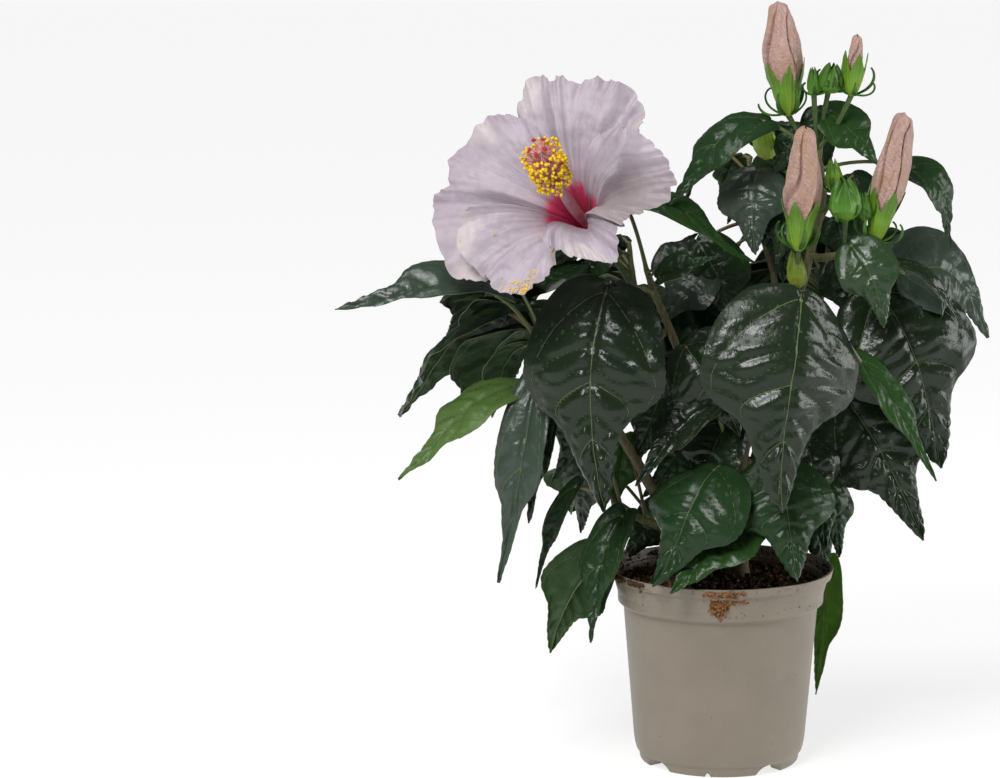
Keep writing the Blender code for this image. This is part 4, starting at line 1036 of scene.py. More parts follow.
# A vein: where on the midrib it starts, or on the basal vein (start_v > 0), where it ends, how it
# bends, and its width as a fraction of the leaf's length. Thinner ones show only as relief.
Vein = namedtuple("Vein", "start_u start_v end_u end_v bend width")
VEINS = [Vein(*row) for row in (
    (0.04, 0, 0.54, 0.92, 1.6, 0.0055), (0.04, 0, 0.09, 0.90, 1.0, 0.003),
    (0.10, 0.40, 0.17, 0.96, 1.0, 0.003), (0.20, 0.65, 0.28, 0.97, 1.0, 0.003),
    (0.31, 0.79, 0.40, 0.97, 1.0, 0.003), (0.17, 0, 0.27, 0.60, 1.3, 0.003),
    (0.28, 0, 0.40, 0.72, 1.3, 0.003), (0.43, 0, 0.60, 0.85, 1.1, 0.0045),
    (0.56, 0, 0.67, 0.85, 1.1, 0.003), (0.68, 0, 0.78, 0.85, 1.1, 0.0045),
    (0.80, 0, 0.89, 0.85, 1.1, 0.003))]
SHOWN_VEIN = 0.004          # veins at least this wide are drawn as ribs
STRONG_VEIN = 0.005         # and these below the blade too
ASPECT = 0.33               # half-width over length of the usual blade
LADDER = 0.080              # spacing of the cross-veins, of the length


class LeafTemplate:
    """Rows, teeth and quilting that every blade of one fineness shares."""

    TOOTH = (0.0, 0.42, 0.78, 1.0, 0.62, 0)
    TOOTH_ROWS = 4

    def __init__(self, base_rows, teeth, columns):
        rows = self.TOOTH_ROWS
        tooth = np.interp(np.arange(rows) / rows, np.arange(6) / 5, self.TOOTH)
        steps = teeth * rows
        self.u = np.concatenate([0.28 * np.linspace(0, 1, base_rows, endpoint=False) ** 1.7,
                                 0.28 + 0.69 * np.arange(steps + 1) / steps, [0.985, 1.0]])
        self.v = np.linspace(-1, 1, columns + 1)
        rise = np.tile(tooth, teeth) * np.linspace(0.5, 1, steps)
        self.tooth = np.concatenate([np.zeros(base_rows), rise, [0, 0, 0]])
        self.margin = np.clip((np.abs(self.v) - 0.80) / 0.20, 0, 1) ** 1.5
        self.relief, self.between = self.quilting()

    @staticmethod
    def line(vein, side, count):
        t = np.linspace(0, 1, count)
        u = vein.start_u + (vein.end_u - vein.start_u) * t ** vein.bend
        v = vein.start_v + (vein.end_v - vein.start_v) * (1 - (1 - t) ** vein.bend)
        return u, v * side

    def flat(self, u, v):
        return np.stack([v * np.maximum(fine_outline(u), 0.02) * ASPECT, u + 0 * v], -1)

    def quilting(self):
        """Pillows between the veins, as a fraction of the length, and where cross-veins show."""
        grid = self.flat(self.u[:, None], self.v[None, :])
        broad = close = np.abs(grid[..., 0])
        for vein in VEINS:
            for side in (-1, 1):
                spots = self.flat(*self.line(vein, side, 30))
                gap = np.linalg.norm(grid[:, :, None] - spots[None, None], axis=-1).min(-1)
                close = np.minimum(close, gap)
                if vein.width > SHOWN_VEIN:
                    broad = np.minimum(broad, gap)
        fade = 1 - np.abs(self.v) ** 8
        pillow = 0.020 * (1 - np.exp(-broad / 0.050)) + 0.010 * (1 - np.exp(-close / 0.012))
        return pillow * fade, (1 - hill(close, 0, 0.016)) * fade

    def crossing(self, rng, ladder):
        """The cross-veins' ladder, with its own steps and bends on each half of the blade."""
        u, v = self.u[:, None], self.v[None, :]
        first, second, bend = (np.where(v > 0, *rng.uniform(0, 6.3, 2)) for _ in range(3))
        rung = ((u - 0.06 * np.abs(v) + 0.10 * (np.abs(v) - 0.4) ** 2) / ladder + first / 6.3
                + 0.28 * np.sin(7 * u + 3 * np.abs(v) + second) + 0.20 * np.sin(9 * v + bend))
        return np.sin(np.pi * (rung % 1.0) ** 0.6) ** 0.8


def lay_blade(blade, template, rng):
    """The blade's surface on the template's rows and columns, and its unit normals."""
    u, v = template.u[:, None], template.v[None, :]
    base, chord, front, across = (np.array(part) for part in
                                  (blade.base, blade.chord, blade.front, blade.across))

    def midrib(at):
        bend = 6.75 * at * (1 - at) ** 2
        swing = 4 * at * (1 - at)
        return (base + chord * at + front * blade.length * blade.arch * bend
                + across * blade.length * blade.sway * swing)

    ahead = unit(midrib(u + 0.01) - midrib(u - 0.01))
    normal = unit(front - ahead * (ahead @ front)[:, None])
    turn = blade.twist * u
    normal = normal * np.cos(turn) + np.cross(ahead, normal) * np.sin(turn)
    side = np.cross(normal, ahead)
    centre, ahead, normal, side = (part[:, None] for part in (midrib(u), ahead, normal, side))
    wide = np.maximum(fine_outline(u), 0.012)
    slender = min(1.0, blade.half_width / (0.30 * blade.length))
    notch = template.tooth[:, None] * (1 + 0.5 * np.sin(9 * u + 7 * np.sign(v) + rng.uniform(0, 6)))
    teeth = notch * template.margin[None, :] * blade.length * 0.008 * slender
    reach = blade.half_width * wide
    back = blade.LOBE * np.exp(-u / 0.1) * np.abs(v) ** 1.5 * np.minimum(wide * 1.6, 1)
    cup = rng.uniform(0.05, 0.16)
    wave = rng.uniform(0.4, 1.0) * 0.016 * blade.length * slender
    phases = np.where(v > 0, rng.uniform(0, 6), rng.uniform(0, 6))
    dent = sum(np.sin(a * u * 6.3 + b * v + c) for a, b, c in
               zip(rng.uniform(1.5, 6, 5), rng.uniform(-7, 7, 5), rng.uniform(0, 6.3, 5)))
    ladder = LADDER * max(1.0, math.sqrt(0.11 / blade.length))
    quilt = (template.relief * rng.uniform(0.85, 1.25)
             + 0.0150 * template.between * template.crossing(rng, ladder)
             + 0.0030 * dent * np.minimum(1, 5 * u))
    lift = (blade.length * slender * quilt + reach * cup * (0.25 - v * v)
            + wave * np.abs(v) ** 2.2 * np.sin(2 * np.pi * rng.uniform(2.0, 3.2) * u + phases)
            * np.minimum(1, 4 * u))
    out = (reach * np.abs(v) + teeth) * np.sign(v)
    grid = (centre + side * (out * math.cos(blade.fold))[..., None]
            + normal * (np.abs(out) * math.sin(blade.fold) + lift)[..., None]
            + ahead * (teeth * 0.5 - blade.length * back)[..., None])
    face = unit(np.cross(np.gradient(grid, axis=0), np.gradient(grid, axis=1)))
    return grid, face * np.sign((face * normal).sum(-1).mean())


def pick(grid, rows, columns):
    """Values of a grid of points at fractional rows and columns."""
    row = np.clip(rows.astype(int), 0, grid.shape[0] - 2)
    column = np.clip(columns.astype(int), 0, grid.shape[1] - 2)
    down, right = (rows - row)[:, None], (columns - column)[:, None]
    top, low = (grid[at, column] * (1 - right) + grid[at, column + 1] * right
                for at in (row, row + 1))
    return top * (1 - down) + low * down


def add_rib(piece, grid, face, template, u, v, widths, height, material, flip):
    """A raised vein along (u, v) on one side of the blade."""
    rows = np.interp(u, template.u, np.arange(len(template.u)))
    columns = (v + 1) / 2 * (len(template.v) - 1)
    spots, normals = pick(grid, rows, columns), unit(pick(face, rows, columns))
    side = unit(np.cross(normals, np.gradient(spots, axis=0))) * widths[:, None] / 2
    foot = normals * 0.05 * MM
    crest = normals * (0.10 * MM + height * widths[:, None])
    piece.add_grid(np.stack([spots - side + foot, spots + crest, spots + side + foot], 1), material,
                   flip=flip)


def add_leaf(leaves, veins, blade, template, materials, rng):
    """A blade with its edge, and its ribs: the midrib and the stronger veins on both sides."""
    grid, face = lay_blade(blade, template, rng)
    lower = grid - face * BLADE_THICKNESS * MM
    leaves.add_sheet(grid, lower, materials, True)
    t = np.linspace(0, 1, 34)
    ribs = [(0.012 + 0.975 * t, 0 * t, blade.length * (0.0120 - 0.0090 * t), 0.22, 1.25, 1)]
    for vein in VEINS:
        taper = np.linspace(1, 0.35, 16) * vein.width * blade.length
        below = 1.3 if vein.width > STRONG_VEIN else 0
        if vein.width > SHOWN_VEIN:
            ribs += [(*template.line(vein, side, 16), taper, 0.20, below, side) for side in (-1, 1)]
    for u, v, widths, height, below, side in ribs:
        add_rib(veins, grid, face, template, u, v, widths, height, materials[2], side < 0)
        if below:
            add_rib(veins, lower, -face, template, u, v, widths * below, 0.60, materials[2],
                    side > 0)


def make_foliage(leaves):
    """Each mass's blades and veins as two pieces; gives all petioles as one."""
    looks = {name: leaf_material(name, *look) for name, look in LEAF_LOOKS.items()}
    large, usual, small = LeafTemplate(16, 13, 30), LeafTemplate(11, 12, 20), LeafTemplate(8, 8, 14)
    stalks = Piece("petioles")
    petiole = petiole_material()
    rng = np.random.default_rng(3)
    steps = np.arange(13)
    swell = 1 + 0.30 * np.exp(-steps / 1.2) + 0.22 * np.exp(-steps[::-1] / 1.0)
    for name, grown in leaves.items():
        blades, veins = (Piece(name.replace("foliage", kind)) for kind in ("leaves", "veins"))
        for root, blade, tint in grown:
            size = blade.length / MM
            template = small if size < 48 else usual if tint != "dark" or size < 90 else large
            # The back-lit tint's underside is painted light as well.
            under = "under_bright" if tint == "bright" else "under"
            materials = [looks[kind] for kind in (tint, under, "vein")]
            add_leaf(blades, veins, blade, template, materials, rng)
            radius = PETIOLE_RADIUS * MM * min(1, 0.55 + size / 160)
            stalks.add_tube(stalk_path(root, blade, len(steps) - 1), radius * swell, 8, petiole)
        blades.finish("leaf", name)
        veins.finish("leaf", name)
    return stalks


# ---- Stems ----

def add_stem(piece, path, radii, material, seed, sides=18, step=1.6, scars=19.0):
    """A woody stem along a path: ridges along it, swellings at its leaf scars."""
    rng = np.random.default_rng(seed)
    length = sum((after - point).length for point, after in zip(path, path[1:]))
    pieces = max(int(length / (step * MM) / (len(path) - 1)), 2)
    fine = np.array([tuple(point) for point in smooth_path(path, pieces)])
    run = running(np.linalg.norm(np.diff(fine, axis=0), axis=1)) / MM
    size = np.interp(run / run[-1], np.linspace(0, 1, len(radii)), radii)
    turns, down = circle(sides), run[:, None]
    ridges = (0.030 * np.sin(3 * turns + rng.uniform(0, 6) + down * 0.05)
              + 0.025 * np.sin(7 * turns + down * 0.11) + rng.normal(0, 0.012, (len(run), sides)))
    knots = np.zeros((len(run), sides))
    for number in range(int(run[-1] / scars) + 1):
        at = (number + 0.6) * scars + rng.uniform(-3, 3)
        facing = math.radians(number * GOLDEN_ANGLE + rng.uniform(0, 30))
        knots += hill(down, at, 1.7) * (0.10 + 0.16 * np.exp(4 * (np.cos(turns - facing) - 1)))
    piece.add_tube(fine, size[:, None] * MM * (1 + ridges + knots), sides, material)


def set_in(path, radius):
    """The path with its start drawn back into what it grows from."""
    return [path[0] + (path[0] - path[1]).normalized() * radius * 0.8 * MM] + path[1:]


def make_stems(paths, stems):
    """Trunk and boughs with bark relief; gives the masses' own stems, greener and thinner."""
    bark = bark_material("bark", (0.055, 0.045, 0.018), (0.150, 0.130, 0.055), (0.24, 0.21, 0.11))
    green_bark = bark_material("green_bark", (0.070, 0.075, 0.022), (0.140, 0.140, 0.050),
                               (0.17, 0.13, 0.07))
    boughs = Piece("boughs")
    for seed, (name, limb) in enumerate(LIMBS.items()):
        path, (start, end) = paths[name], limb.radii
        if limb.parent == "soil":
            path, foot = [path[0] - UP * 3 * MM] + path[1:], (start * 1.5, start * 1.2)
        else:
            path, foot = set_in(path, start), (start * 1.35,)
        add_stem(boughs, path, (*foot, *np.linspace(start, end, 6)), bark, seed)
    boughs.finish("bark", *LIMBS)
    twigs = Piece("twigs")
    for seed, (name, path) in enumerate(stems.items()):
        start, end = stem_radii({**MASSES, **BUD_STEMS}[name])
        add_stem(twigs, set_in(path, start), (start * 1.15, start, end), green_bark,
                 seed + 40, 14, 1.3, 13.0)
    return twigs


# ---- Pot and soil ----

def rounded(profile, pieces=4):
    """A profile of (radius, height, fillet) corners (mm), with each corner rounded off."""
    points = []
    for before, (radius, height, fillet), after in zip(profile[:1] + profile, profile,
                                                       profile[1:] + profile[-1:]):
        corner = np.array([radius, height], float)
        if fillet <= 0:
            points.append(corner)
            continue
        start, end = (corner + unit(np.array(other[:2]) - corner) * fillet
                      for other in (before, after))
        points += [start * (1 - t) ** 2 + corner * 2 * t * (1 - t) + end * t * t
                   for t in np.linspace(0, 1, pieces)]
    return points


def wall_radius(height):
    share = (height - FOOT_HEIGHT) / (BAND_BOTTOM - FOOT_HEIGHT)
    return WALL_BOTTOM_RADIUS + (WALL_TOP_RADIUS - WALL_BOTTOM_RADIUS) * share


def cut_across(pot, turn, half_width, height):
    """Cuts an arch through the foot ring: a lying cylinder, flattened to the arch's height."""
    reach, below = FOOT_WIDTH + 8, 0.7
    bpy.ops.mesh.primitive_cylinder_add(vertices=64, radius=1, depth=1)
    cutter = bpy.context.object
    cutter.data.transform(Matrix.Diagonal(((height + below) * MM, half_width * MM, reach * MM, 1)))
    cutter.data.transform(Matrix.Rotation(math.radians(90), 4, "Y"))
    cutter.rotation_euler = (0, 0, math.radians(turn))
    cutter.location = (direction(turn) * (FOOT_RADIUS - FOOT_WIDTH / 2) - UP * below) * MM
    cut = pot.modifiers.new(f"arch_{turn}", "BOOLEAN")
    cut.operation = "DIFFERENCE"
    cut.solver = "EXACT"
    cut.object = cutter
    return cutter


def make_pot():
    """The pot's profile, turned, with the arches cut through its foot."""
    floor = FOOT_HEIGHT + POT_WALL
    profile = rounded([
        (0, POT_WALL, 0), (BOSS_RADIUS - POT_WALL, POT_WALL, 0.3),
        (BOSS_RADIUS - POT_WALL, floor, 0.3), (wall_radius(floor) - POT_WALL - 1.5, floor, 1.5),
        (wall_radius(12) - POT_WALL, 12, 2.0), (WALL_TOP_RADIUS - POT_WALL, BAND_BOTTOM - 1.5, 0.6),
        (BAND_RADIUS - POT_WALL, BAND_BOTTOM + 0.5, 0.6), (POT_RADIUS - 1.8, POT_HEIGHT - 0.2, 0.7),
        (POT_RADIUS - 0.1, POT_HEIGHT - 0.3, 0.55), (POT_RADIUS - 1.3, LIP_BOTTOM + 0.2, 0.6),
        (BAND_RADIUS + 0.5, LIP_BOTTOM - 0.2, 0.7), (BAND_RADIUS, BAND_BOTTOM + 1.4, 0.7),
        (WALL_TOP_RADIUS + 0.35, BAND_BOTTOM + 0.3, 0.5), (WALL_TOP_RADIUS, BAND_BOTTOM - 0.8, 0.4),
        (wall_radius(12), 12, 3.0), (wall_radius(FOOT_HEIGHT) - 0.9, FOOT_HEIGHT + 0.5, 1.0),
        (FOOT_RADIUS + 0.9, FOOT_HEIGHT - 0.5, 0.5), (FOOT_RADIUS + 0.2, 1.2, 0.6),
        (FOOT_RADIUS - 0.8, 0, 0.5), (FOOT_RADIUS - FOOT_WIDTH, 0, 0.5),
        (FOOT_RADIUS - FOOT_WIDTH, FOOT_HEIGHT, 0.8), (BOSS_RADIUS, FOOT_HEIGHT, 0.8),
        (BOSS_RADIUS, 0, 0.5), (0, 0, 0)])
    mesh = bpy.data.meshes.new("pot_line")
    mesh.from_pydata([(radius * MM, 0, height * MM) for radius, height in profile],
                     [(i, i + 1) for i in range(len(profile) - 1)], [])
    pot = linked("pot_turned", mesh)
    screw = pot.modifiers.new("Turn", "SCREW")
    screw.steps = screw.render_steps = 160
    screw.use_merge_vertices = True
    screw.merge_threshold = 0.00001
    cutters = [cut_across(pot, *gap) for gap in FOOT_GAPS]
    shaped = evaluated_mesh(pot)
    for cutter in cutters:
        bpy.data.objects.remove(cutter)
    shaped.name = "pot_shell"
    shaped.materials.clear()
    shaped.materials.append(pot_material())
    smooth = show(shaped, "pot", "pot").modifiers.new("Weighted", "WEIGHTED_NORMAL")
    smooth.keep_sharp = True
    shaped.shade_smooth()


def make_soil():
    """The peat's crumbly top, with crumbs, splinters and green specks, and what spilled out."""
    rng = np.random.default_rng(21)
    dark, brown, rust, moss = (peat_material(*look) for look in (
        ("dark", (0.010, 0.006, 0.004), (0.050, 0.028, 0.016)),
        ("brown", (0.050, 0.026, 0.012), (0.150, 0.080, 0.036)),
        ("rust", (0.190, 0.080, 0.025), (0.420, 0.210, 0.080)),
        ("specks", (0.120, 0.130, 0.030), (0.330, 0.330, 0.090))))
    surface = Piece("soil_top")
    edge = BAND_RADIUS - POT_WALL - 0.3

    def heaps(spots):
        return 1.3 * ripple(spots, 16, 1) + 0.9 * ripple(spots, 6, 2)

    reach = np.concatenate([np.linspace(0.02, 1, 52) * edge, [edge]])[:, None]
    flat = ring(circle(180)[None, :], reach)
    lumps = heaps(flat) + 0.55 * ripple(flat, 2.6, 3) + rng.normal(0, 0.18, flat.shape[:2])
    flat[..., 2] = SOIL_TOP - 0.4 + lumps - 1.0 * (reach / edge) ** 6
    flat[-1, :, 2] -= 5
    surface.add_grid(flat * MM, dark, closed=True)
    for seed, (material, count, low, high) in enumerate((
            (dark, 520, 0.6, 2.2), (brown, 460, 0.5, 1.7), (rust, 90, 0.5, 1.3),
            (moss, 110, 0.4, 0.9))):
        radius = np.sqrt(rng.uniform(0.01, 1, count)) * (edge - 2)
        spots = ring(rng.uniform(0, 2 * np.pi, count), radius)
        spots[:, 2] = SOIL_TOP + 0.2 + heaps(spots) + rng.uniform(-0.2, 0.7, count)
        scales = rng.uniform(low, high, (count, 1)) * rng.uniform(0.5, 1.3, (count, 3)) * MM
        if material is brown:
            scales[::3, 0] *= 3.0
        scatter(surface, material, spots * MM, scales, random_spins(count, rng), seed + 60)
    surface.finish("peat", "soil")
    spilled = Piece("spilled_crumbs")

    def on_band(turn, height):
        """A place on the outside of the lip or band at that height (mm)."""
        lip = POT_RADIUS - 1.2 + (height - LIP_BOTTOM) * 0.2
        return ring(turn, np.where(height > LIP_BOTTOM, lip, BAND_RADIUS + 0.3), height)

    def heap(material, count, turn, spread, top, drop, size, seed):
        turns = np.radians(rng.normal(turn, spread, count))
        heights = top - np.abs(rng.normal(0, drop, count))
        layers = ring(turns, rng.uniform(0, 1.6, count))
        strew(spilled, material, (on_band(turns, np.clip(heights, 95, 113)) + layers) * MM,
              size * 0.35, size, rng, seed)

    for number, (turn, spread, top, drop, count) in enumerate((
            (-91, 2.6, 107.6, 4.4, 230), (-85, 4.0, 107.6, 2.0, 90), (-87, 6.0, 112.0, 1.6, 60),
            (-79, 1.2, 107.2, 1.2, 24))):
        heap(rust, count, turn, spread, top, drop, 1.25, 70 + number)
        heap(brown, count // 4, turn, spread, top, drop, 1.1, 80 + number)
    for number, turn in enumerate((-169, -161, -157, -149, -141, -136)):
        heap(brown, 26, turn, 1.6, 113.4, 1.5, 1.2, 90 + number)
    turn = np.radians(rng.uniform(-165, -30, 60))
    strew(spilled, brown, on_band(turn, rng.uniform(95, 107, 60)) * MM, 0.15, 0.45, rng, 72)
    turn = np.radians(rng.uniform(0, 360, 260))
    rim = ring(turn, POT_RADIUS - 3.2, POT_HEIGHT - 1.6) * rng.uniform(0.96, 1.0, (260, 1))
    strew(spilled, brown, rim * MM, 0.3, 1.1, rng, 73)
    spilled.finish("peat")


# ---- Flower ----

def axis_frame(axis):
    """The directions along an axis, above it and beside it."""
    forward = Vector(axis).normalized()
    above = (UP - forward * UP.dot(forward)).normalized()
    return [np.array(part) for part in (forward, above, above.cross(forward))]


def petal_ridge(u, v):
    """How far past the right petal's sharp fold a point is, across the petal."""
    return v + 0.30 - (1 - u) + 0.05 * np.sin(14 * u) + 0.025 * np.sin(33 * u)


def petal_grid(number):
    """A petal from the throat to its edge, with soft folds, ruffles and a crimped margin."""
    forward, above, beside = axis_frame(FLOWER_AXIS)
    phase = np.random.default_rng(number + 5).uniform(0, 2 * np.pi, 8)
    edge = np.array(smooth_path([Vector(point) for point in PETALS[number]], 10))
    turn, reach, rise = edge.T[:, None, :]
    u = np.linspace(0.03, 1, 78)[:, None]
    v = np.linspace(-1, 1, len(edge))[None, :]
    reach = (reach + 0.9 * np.sin(11 * v + phase[0]) + 0.7 * np.sin(23 * v + phase[1])
             + 0.5 * np.sin(53 * v + phase[2] + 3 * np.sin(8 * v)))
    weights = ((1 - u) ** 3, 3 * u * (1 - u) ** 2, 3 * u * u * (1 - u), u ** 3)
    radius, height = (sum(weight * part for weight, part in zip(weights, parts)) for parts in (
        (THROAT_RADIUS, THROAT_RADIUS + 2, reach * 0.42, reach), (2, THROAT_DEPTH, rise + 6, rise)))
    fold = sum(size * u ** power * np.sin(waves * np.pi * v + shift)
               for size, power, waves, shift in (
                   (1.6, 1.5, 2.2, phase[2]), (1.3, 3, 4.3, phase[3] + 1.5 * u),
                   (1.2, 7, 8.5, phase[4] + 4 * u), (0.9, 12, 17, phase[5] + 3 * np.sin(5 * v)),
                   (0.6, 18, 31, phase[7] + 4 * np.sin(7 * v))))
    if number == RIGHT_PETAL:
        ridge = petal_ridge(u, v)
        near = np.exp(-np.where(ridge < 0, (ridge / 0.30) ** 2, ridge / 0.05))
        fold = fold + 13.0 * u ** 1.2 * near
    if number == TOP_PETAL:
        crease = 0.60 + 0.04 * np.sin(25 * u) + 0.03 * np.sin(41 * u)
        fold = fold - 7.0 / (1 + np.exp((crease - v) / 0.018)) * np.clip((u - 0.45) / 0.3, 0, 1)
    lift = v * PETAL_OVERLAP * np.minimum(1, u * 3)
    angle = np.radians(turn + 1.2 * u ** 3 * np.sin(9 * v + 4 * u + phase[6]))
    flat = ring(angle, radius)
    fold = fold + u ** 2 * (0.55 * ripple(flat, 13, number) + 0.30 * ripple(flat, 5, number + 9))
    outward = above * np.cos(angle)[..., None] + beside * np.sin(angle)[..., None]
    grid = np.array(metres(FLOWER_BASE)) + (outward * radius[..., None]
                                            + forward * (height + lift + fold)[..., None]) * MM
    pale = sum((np.exp(-((u - at_u) / 0.16) ** 2 - ((v - at_v) / wide) ** 2)
                for at_u, at_v, wide in PALE[number]), 0 * u * v)
    # Painted shade: past its sharp fold the right petal gets negative bleaching, which its material
    # paints darker.
    if number == RIGHT_PETAL:
        pale = pale - 0.9 / (1 + np.exp(-ridge / 0.05)) * np.clip((u - 0.4) / 0.3, 0, 1)
    return grid, np.stack(np.broadcast_arrays(u, v, pale), -1)


def make_petals():
    """The five petals; gives the places of the pollen that was shed on one."""
    front, back = petal_material("petal_front", True), petal_material("petal_back", False)
    for number in range(len(PETALS)):
        grid, place = petal_grid(number)
        face = unit(np.cross(np.gradient(grid, axis=1), np.gradient(grid, axis=0)))
        face *= np.sign((face @ axis_frame(FLOWER_AXIS)[0]).mean())
        petal = Piece(f"petal_{number}")
        petal.add_sheet(grid, grid - face * PETAL_THICKNESS * MM, (front, back, back), False, place,
                        False)
        if number == LOW_PETAL:
            shed = shed_pollen(grid, face)
        petal.finish("petal", "flower")
    return shed


def shed_pollen(grid, face):
    """Places just above a petal where pollen has dropped, in two drifts near its edge."""
    rng = np.random.default_rng(17)
    rows, columns = grid.shape[:2]
    across = np.concatenate([rng.normal(0.44, 0.035, 60), rng.normal(0.12, 0.03, 26),
                             rng.uniform(0.1, 0.9, 8)])
    down = 1 - np.abs(rng.normal(0, 1, 94)) * np.concatenate([np.full(86, 0.05), np.full(8, 0.5)])
    row = np.clip(down * (rows - 1), 40, rows - 1).astype(int)
    column = np.clip(across * (columns - 1), 0, columns - 1).astype(int)
    return grid[row, column] + face[row, column] * 0.2 * MM


def make_column(shed):
    """The flower's column, its filaments and anthers, and the five stigma pads."""
    forward, above, beside = axis_frame(FLOWER_AXIS)
    rng = np.random.default_rng(8)
    pale, thread, coral, gold = (plain_material(*look) for look in (
        ("column_pale", (0.50, 0.30, 0.34), 0.45, 0.002, 0.0002),
        ("filament", (0.72, 0.28, 0.24), 0.5, 0.001, 0.0001),
        ("style_coral", (0.80, 0.24, 0.20), 0.5, 0.001, 0.0001),
        ("anther_gold", (0.95, 0.62, 0.008), 0.65, 0.0006, 0.0003)))
    pad = plain_material("stigma_red", (0.42, 0.008, 0.020), 0.8, 0.0005, 0.0004, Sheen_Weight=0.4)
    column, filaments, heads, styles = (
        Piece(name) for name in ("flower_column", "filaments", "anthers", "stigmas"))

    def on_column(t):
        bend = forward * COLUMN_LENGTH * t + above * COLUMN_BEND * t * t
        return np.array(metres(FLOWER_BASE)) + bend * MM

    t = np.linspace(0.02, 1.0, 60)
    column.add_tube([on_column(value) for value in t],
                    (COLUMN_RADIUS + 0.9 * hill(t, 0.45, 0.2) - 0.6 * t) * MM, 18, pale)
    anthers, pads = [], []
    steps = np.linspace(0, 1, 6)[:, None]
    for number in range(ANTHERS):
        at = 0.70 + 0.29 * (number + 0.5) / ANTHERS
        turn = math.radians(number * GOLDEN_ANGLE + rng.uniform(-8, 8))
        ahead = unit(forward * COLUMN_LENGTH + above * 2 * COLUMN_BEND * at)
        out = above * math.cos(turn) + beside * math.sin(turn)
        out = unit(out - ahead * out.dot(ahead))
        length = rng.uniform(6.5, 10.0) * MM
        lean = rng.uniform(0.10, 0.45)
        start = on_column(at) + out * COLUMN_RADIUS * 0.7 * MM
        path = start + out * length * steps + ahead * length * lean * steps ** 2
        filaments.add_tube(path, np.full(6, 0.24 * MM), 6, thread)
        anthers.append(path[-1])
    scales = rng.uniform(0.9, 1.15, (ANTHERS, 1)) * np.array([1.20, 0.95, 0.85]) * MM
    scatter(heads, gold, np.array(anthers), scales, random_spins(ANTHERS, rng), 9, 2, 0.10)
    strew(heads, gold, shed, 0.35, 0.75, rng, 12)
    tip = on_column(0.985)
    ahead = unit(forward * COLUMN_LENGTH + above * 2 * COLUMN_BEND)
    steps = np.linspace(0, 1, 9)[:, None]
    for number in range(STIGMAS):
        turn = 2 * np.pi * number / STIGMAS + 0.5
        out = above * math.cos(turn) + beside * math.sin(turn)
        path = tip + (ahead * 5.5 * steps + out * 4.6 * steps ** 1.4) * MM
        styles.add_tube(path, np.linspace(0.62, 0.42, 9) * MM, 10, coral)
        pads.append(path[-1] + (ahead * 0.4 + out * 0.4) * MM)
    pads = np.array(pads)
    facing = unit(pads - tip)
    side = unit(np.cross(facing, (0.01, 0.02, 1.0)))
    scatter(styles, pad, pads, np.tile(np.array([1.45, 1.45, 0.90]) * MM, (STIGMAS, 1)),
            np.stack([side, np.cross(facing, side), facing], -1), 10, 3, 0.10)
    for piece in (filaments, heads, styles, column):
        piece.finish("petal", "flower")


# ---- Calyces and buds ----

def turned_grid(base, axis, heights, radii, sides):
    """Rings round an axis: heights and radii (mm) are rows by sides, or one value a row."""
    forward, above, beside = axis_frame(axis)
    out = np.outer(np.cos(circle(sides)), above) + np.outer(np.sin(circle(sides)), beside)
    heights = np.broadcast_to(heights, (len(heights), sides))
    return np.array(base) + (forward * heights[..., None] + out * radii[..., None]) * MM


FURLED = ((0.10, 0.25, 0.35, 0.44, 0.51, 0.62, 0.74, 0.85, 0.93, 0.97, 0.99, 1.0),
          (0.45, 0.70, 0.90, 0.98, 1.00, 0.94, 0.81, 0.69, 0.60, 0.50, 0.34, 0.06))
SHUT_CUP = ((0, 0.10, 0.30, 0.55, 0.80, 0.95, 1.0), (0.30, 0.74, 1.0, 0.95, 0.72, 0.46, 0.30))
OPEN_CUP = ((0, 0.05, 0.15, 0.35, 0.60, 1.0), (0.28, 0.42, 0.58, 0.78, 0.93, 1.0))
CALYX_SIDES = 70
CALYX_THICKNESS = 0.45


def add_calyx(piece, base, axis, length, radius, material, core=None, flare=1.0, phase=0.0):
    """A ribbed green cup that ends in five points: shut, or open round a core of furled petals.

    core is the petals' (length, radius), or (0, 0) for an open flower.
    """
    turns = circle(CALYX_SIDES)[None, :]
    share = np.linspace(0, 1, 25)[:, None]
    # 1 at the middle of each of the five lobes and 0 between two of them
    lobe = 1 - np.abs(2 * ((turns * 5 / (2 * np.pi) + phase) % 1.0) - 1)
    if core is None:
        heights = length * share * (0.80 + 0.20 * lobe ** 0.8)
        radii = radius * np.interp(share, *SHUT_CUP) * (
            1 - (0.08 + 0.50 * share ** 4) * (1 - lobe) ** 1.5 * np.minimum(1, share * 3))
    else:
        heights = length * (0.56 + 0.44 * lobe ** 0.9) * share
        run = heights / length
        radii = radius * np.interp(run, *OPEN_CUP) * (1 + (flare - 1) * run ** 2)
        if core[0]:
            inner = core[1] * np.interp(heights / core[0], *FURLED) * 1.06 + 0.5
            radii = np.where(run > 0.2, np.maximum(radii, inner), radii)
        radii = radii + 0.5 * share ** 3
    ribs = 0.22 * np.cos(5 * turns) + 0.12 * np.cos(15 * turns)
    radii = radii + ribs * np.minimum(1, share * 4)
    grid = turned_grid(base, axis, heights, radii, CALYX_SIDES)
    place = np.stack(np.broadcast_arrays(heights / length, lobe, 0 * heights), -1)
    piece.add_grid(grid, material, closed=True, place=place)
    if core is not None:
        inner = turned_grid(base, axis, heights, radii - CALYX_THICKNESS, CALYX_SIDES)
        piece.add_grid(inner, material, closed=True, flip=True, place=place)
        piece.add_grid(np.stack([grid[-1], inner[-1]]), material, closed=True,
                       place=np.stack([place[-1]] * 2))


